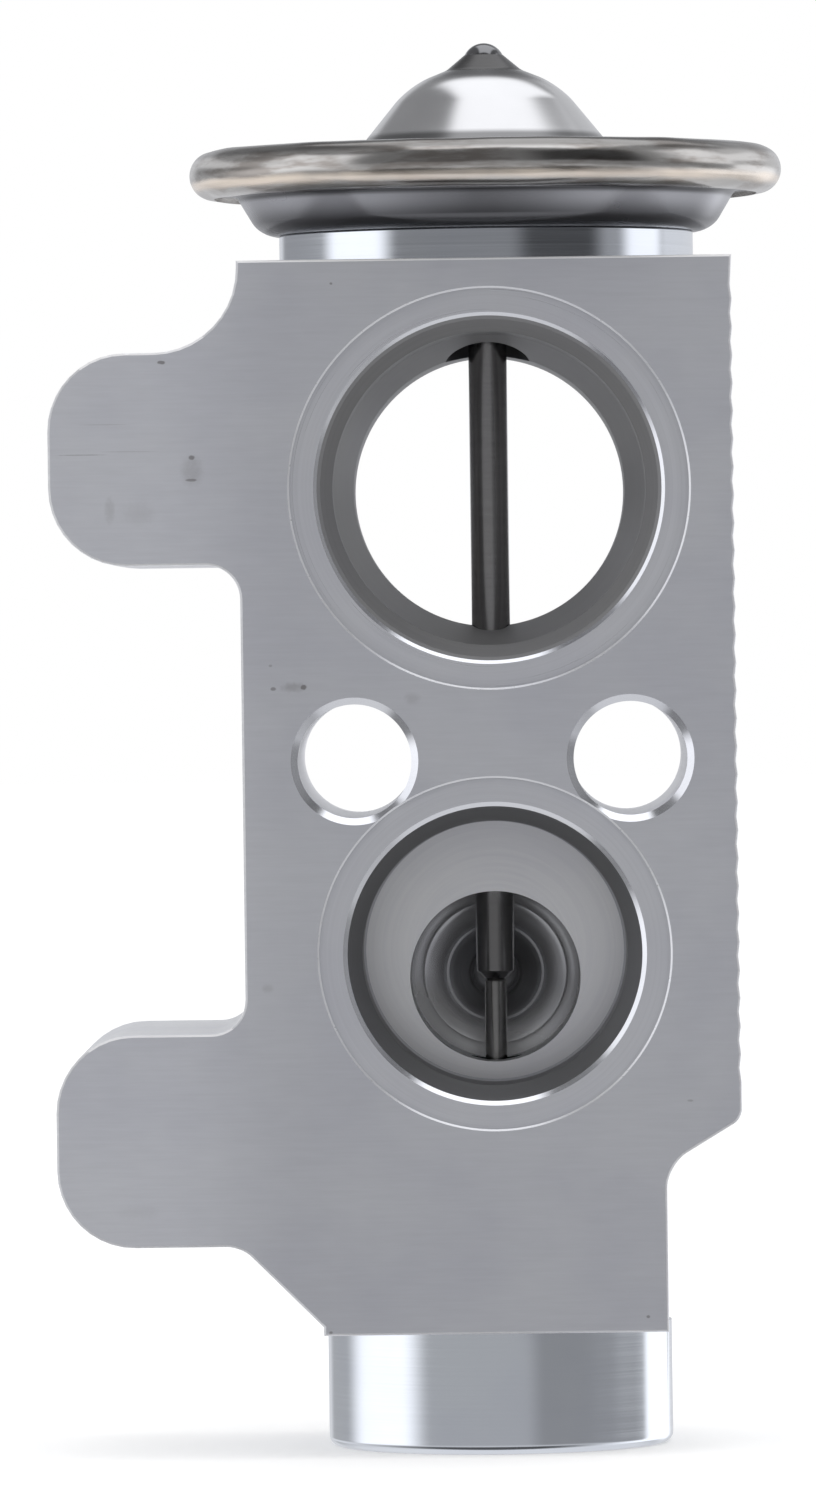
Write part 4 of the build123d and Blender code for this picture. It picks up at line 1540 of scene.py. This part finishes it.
# Panels that metal sees: brightness, then centre, half width and soft edge in degrees, across and upwards
ROOM_PANELS = [
    (0.2, (0, 55, 20), (38, 35, 12)),
    (0.05, (42, 16, 14), (20, 22, 10)),
    (1.15, (-78, 14, 14), (14, 20, 10)),
    (1.15, (99, 9, 12), (14, 20, 10)),
    (0.7, (140, 20, 8), (14, 16, 10)),
    (0.75, (-128, 32, 14), (15, 4, 5)),
    (1.1, (112, 24, 10), (16, 5, 5)),
]
TABLE_PANELS = [
    (0.30, (65, 35, 14), (0, 10, 14)),
    (1.2, (-87, 16, 24), (0, 12, 14)),
    (1.25, (146, 28, 8), (0, 12, 14)),
]


def add_camera():
    """The photograph's own view: a long lens, level with the middle of the block."""
    bpy.ops.object.camera_add(location=CAMERA_PLACE)
    camera = bpy.context.object
    aim = Euler((radians(CAMERA_PITCH), 0, radians(CAMERA_YAW))).to_matrix()
    roll = Matrix.Rotation(radians(CAMERA_ROLL), 3, "Z")
    camera.rotation_euler = (aim @ roll).to_euler()
    camera.data.lens = CAMERA_LENS
    camera.data.sensor_width = CAMERA_SENSOR
    bpy.context.scene.camera = camera


def studio_light(tree):
    """What metal sees: a dim room in front, white panels left, right and overhead, and a white table."""
    direction = node(tree, "ShaderNodeTexCoord").outputs["Generated"]
    x, y, z = node(tree, "ShaderNodeSeparateXYZ", {0: direction}).outputs
    azimuth = sums(tree, "DEGREES", sums(tree, "ARCTAN2", x, sums(tree, "MULTIPLY", y, -1.0)))
    height = sums(tree, "DEGREES", sums(tree, "ARCSINE", z))

    def hang(behind, panels):
        """The light behind, covered by the panels one after another."""
        for level, azimuth_band, height_band in panels:
            across = band(tree, azimuth, *azimuth_band)
            upwards = band(tree, height, *height_band)
            behind = blend(tree, sums(tree, "MULTIPLY", across, upwards), behind, level)
        return behind

    room = hang(0.32, ROOM_PANELS)
    table = hang(blend(tree, ease(tree, height, -40.0, -6.0), 0.75, 0.42), TABLE_PANELS)
    table = blend(tree, cup_strip(tree, azimuth, z), table, cup_surroundings(tree, azimuth))
    seen = blend(tree, ease(tree, height, -4.0, 2.0), table, room)
    sideways = sums(tree, "ABSOLUTE", azimuth)
    rear_wall = sums(tree, "MULTIPLY", band(tree, sideways, 180, 18, 12), band(tree, height, 0, 18, 12))
    seen = blend(tree, rear_wall, seen, 0.7)
    overhead = sums(tree, "MULTIPLY", band(tree, x, 0.10, 0.355, 0.12), band(tree, y, 0.11, 0.45, 0.14))
    overhead = sums(tree, "MULTIPLY", overhead, ease(tree, z, 0.2, 0.6))
    seen = blend(tree, overhead, seen, 1.5)
    grey = node(tree, "ShaderNodeCombineColor", {0: seen, 1: seen, 2: seen}).outputs[0]
    return tint(tree, 1.0, grey, (0.97, 0.985, 1.03, 1), "MULTIPLY")


def cup_strip(tree, azimuth, z):
    """The strip of the table that the cup's sloping wall mirrors towards the camera."""
    half_turn = sums(tree, "COSINE", sums(tree, "RADIANS", sums(tree, "MULTIPLY", azimuth, 0.5)))
    slope = sums(tree, "DIVIDE", z, sums(tree, "MAXIMUM", half_turn, 0.05))
    return band(tree, slope, -0.70, 0.15, 0.1)


def cup_surroundings(tree, azimuth):
    """Dark straight ahead, where the camera stands, and lighter to both sides."""
    left = ease(tree, azimuth, -140, -35, 0.75, 0.09)
    right = ease(tree, azimuth, 30, 128, 0.0, 1.15)
    return sums(tree, "ADD", left, right)


def add_world():
    """White for the camera, even light for matt surfaces, and the studio for metal."""
    world = bpy.data.worlds.new("studio")
    bpy.context.scene.world = world
    world.use_nodes = True
    world.cycles.sampling_method = "NONE"
    tree = world.node_tree
    tree.nodes.clear()
    path = node(tree, "ShaderNodeLightPath").outputs
    for_metal = sums(tree, "MAXIMUM", path["Is Glossy Ray"], path["Is Transmission Ray"])
    even = tint(tree, path["Is Camera Ray"], (0.88, 0.88, 0.88, 1), (1, 1, 1, 1))
    colour = tint(tree, for_metal, even, studio_light(tree))
    background = node(tree, "ShaderNodeBackground", {"Color": colour, "Strength": 1.0})
    out = node(tree, "ShaderNodeOutputWorld")
    tree.links.new(background.outputs[0], out.inputs[0])


def add_floor():
    """A plain pale floor that keeps the object's shadow. Metal sees the studio's table in its place."""
    bpy.ops.object.select_all(action="DESELECT")
    bpy.ops.mesh.primitive_plane_add(size=6.0, location=(0, 0, foot_z))
    floor = bpy.context.object
    floor.name = "floor"
    material = bpy.data.materials.new("pale_floor")
    material.use_nodes = True
    tree = material.node_tree
    tree.nodes.clear()
    path = node(tree, "ShaderNodeLightPath").outputs
    matt = node(tree, "ShaderNodeBsdfDiffuse", {"Color": (0.9, 0.9, 0.9, 1)}).outputs[0]
    lift = node(tree, "ShaderNodeEmission", {"Strength": sums(tree, "MULTIPLY", path["Is Camera Ray"], 0.25)})
    lit = node(tree, "ShaderNodeAddShader", {0: matt, 1: lift.outputs[0]}).outputs[0]
    clear = node(tree, "ShaderNodeBsdfTransparent").outputs[0]
    shown = node(tree, "ShaderNodeMixShader", {0: path["Is Glossy Ray"], 1: lit, 2: clear}).outputs[0]
    out = node(tree, "ShaderNodeOutputMaterial")
    tree.links.new(shown, out.inputs[0])
    floor.data.materials.append(material)


def add_lamps():
    """Soft boxes overhead and at the left. Metal sees the studio's panels in their place."""
    for name, place, size, power in (
        ("overhead_box", (0.15, -0.1, 1.1), 0.9, 2.2),
        ("left_box", (-0.9, -0.5, 0.5), 0.7, 1.2),
    ):
        bpy.ops.object.light_add(type="AREA", location=place)
        lamp = bpy.context.object
        lamp.name = name
        lamp.data.size = size
        lamp.data.energy = power
        lamp.rotation_euler = Vector(place).to_track_quat("Z", "Y").to_euler()
        lamp.visible_glossy = False


bpy.context.scene.view_settings.view_transform = "Standard"
add_camera()
add_world()
add_floor()
add_lamps()

block = make_block()
cup = make_cup()
dome = make_dome()
weld = make_weld()
plug = make_plug()
rod = make_rod()
pin = make_pin()
ball = make_ball()
spring = make_spring()
screw = make_screw()
for piece in (cup, dome, weld, plug, rod, pin, ball, spring, screw):
    smooth(piece)
finish_block()
finish_pieces()
finish_inner_pieces()

# What each piece rides on, what it stands for, and the name of its slot
for piece, body, cad_node, slot in (
    (block, "block", "valve_body", "block"),
    (cup, "block", "head_lower_cover", "cup"),
    (dome, "block", "head_upper_cover", "dome"),
    (weld, "block", "rim_weld", "weld"),
    (plug, "block", "charge_plug", "plug"),
    (spring, "block", "bias_spring", "spring"),
    (rod, "stem", "push_rod", "rod"),
    (pin, "stem", "valve_pin", "pin"),
    (ball, "stem", "valve_ball", "ball"),
    (screw, "adjuster", "adjusting_screw", "screw"),
):
    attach(piece, body)
    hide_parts(cad_node)

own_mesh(spring)
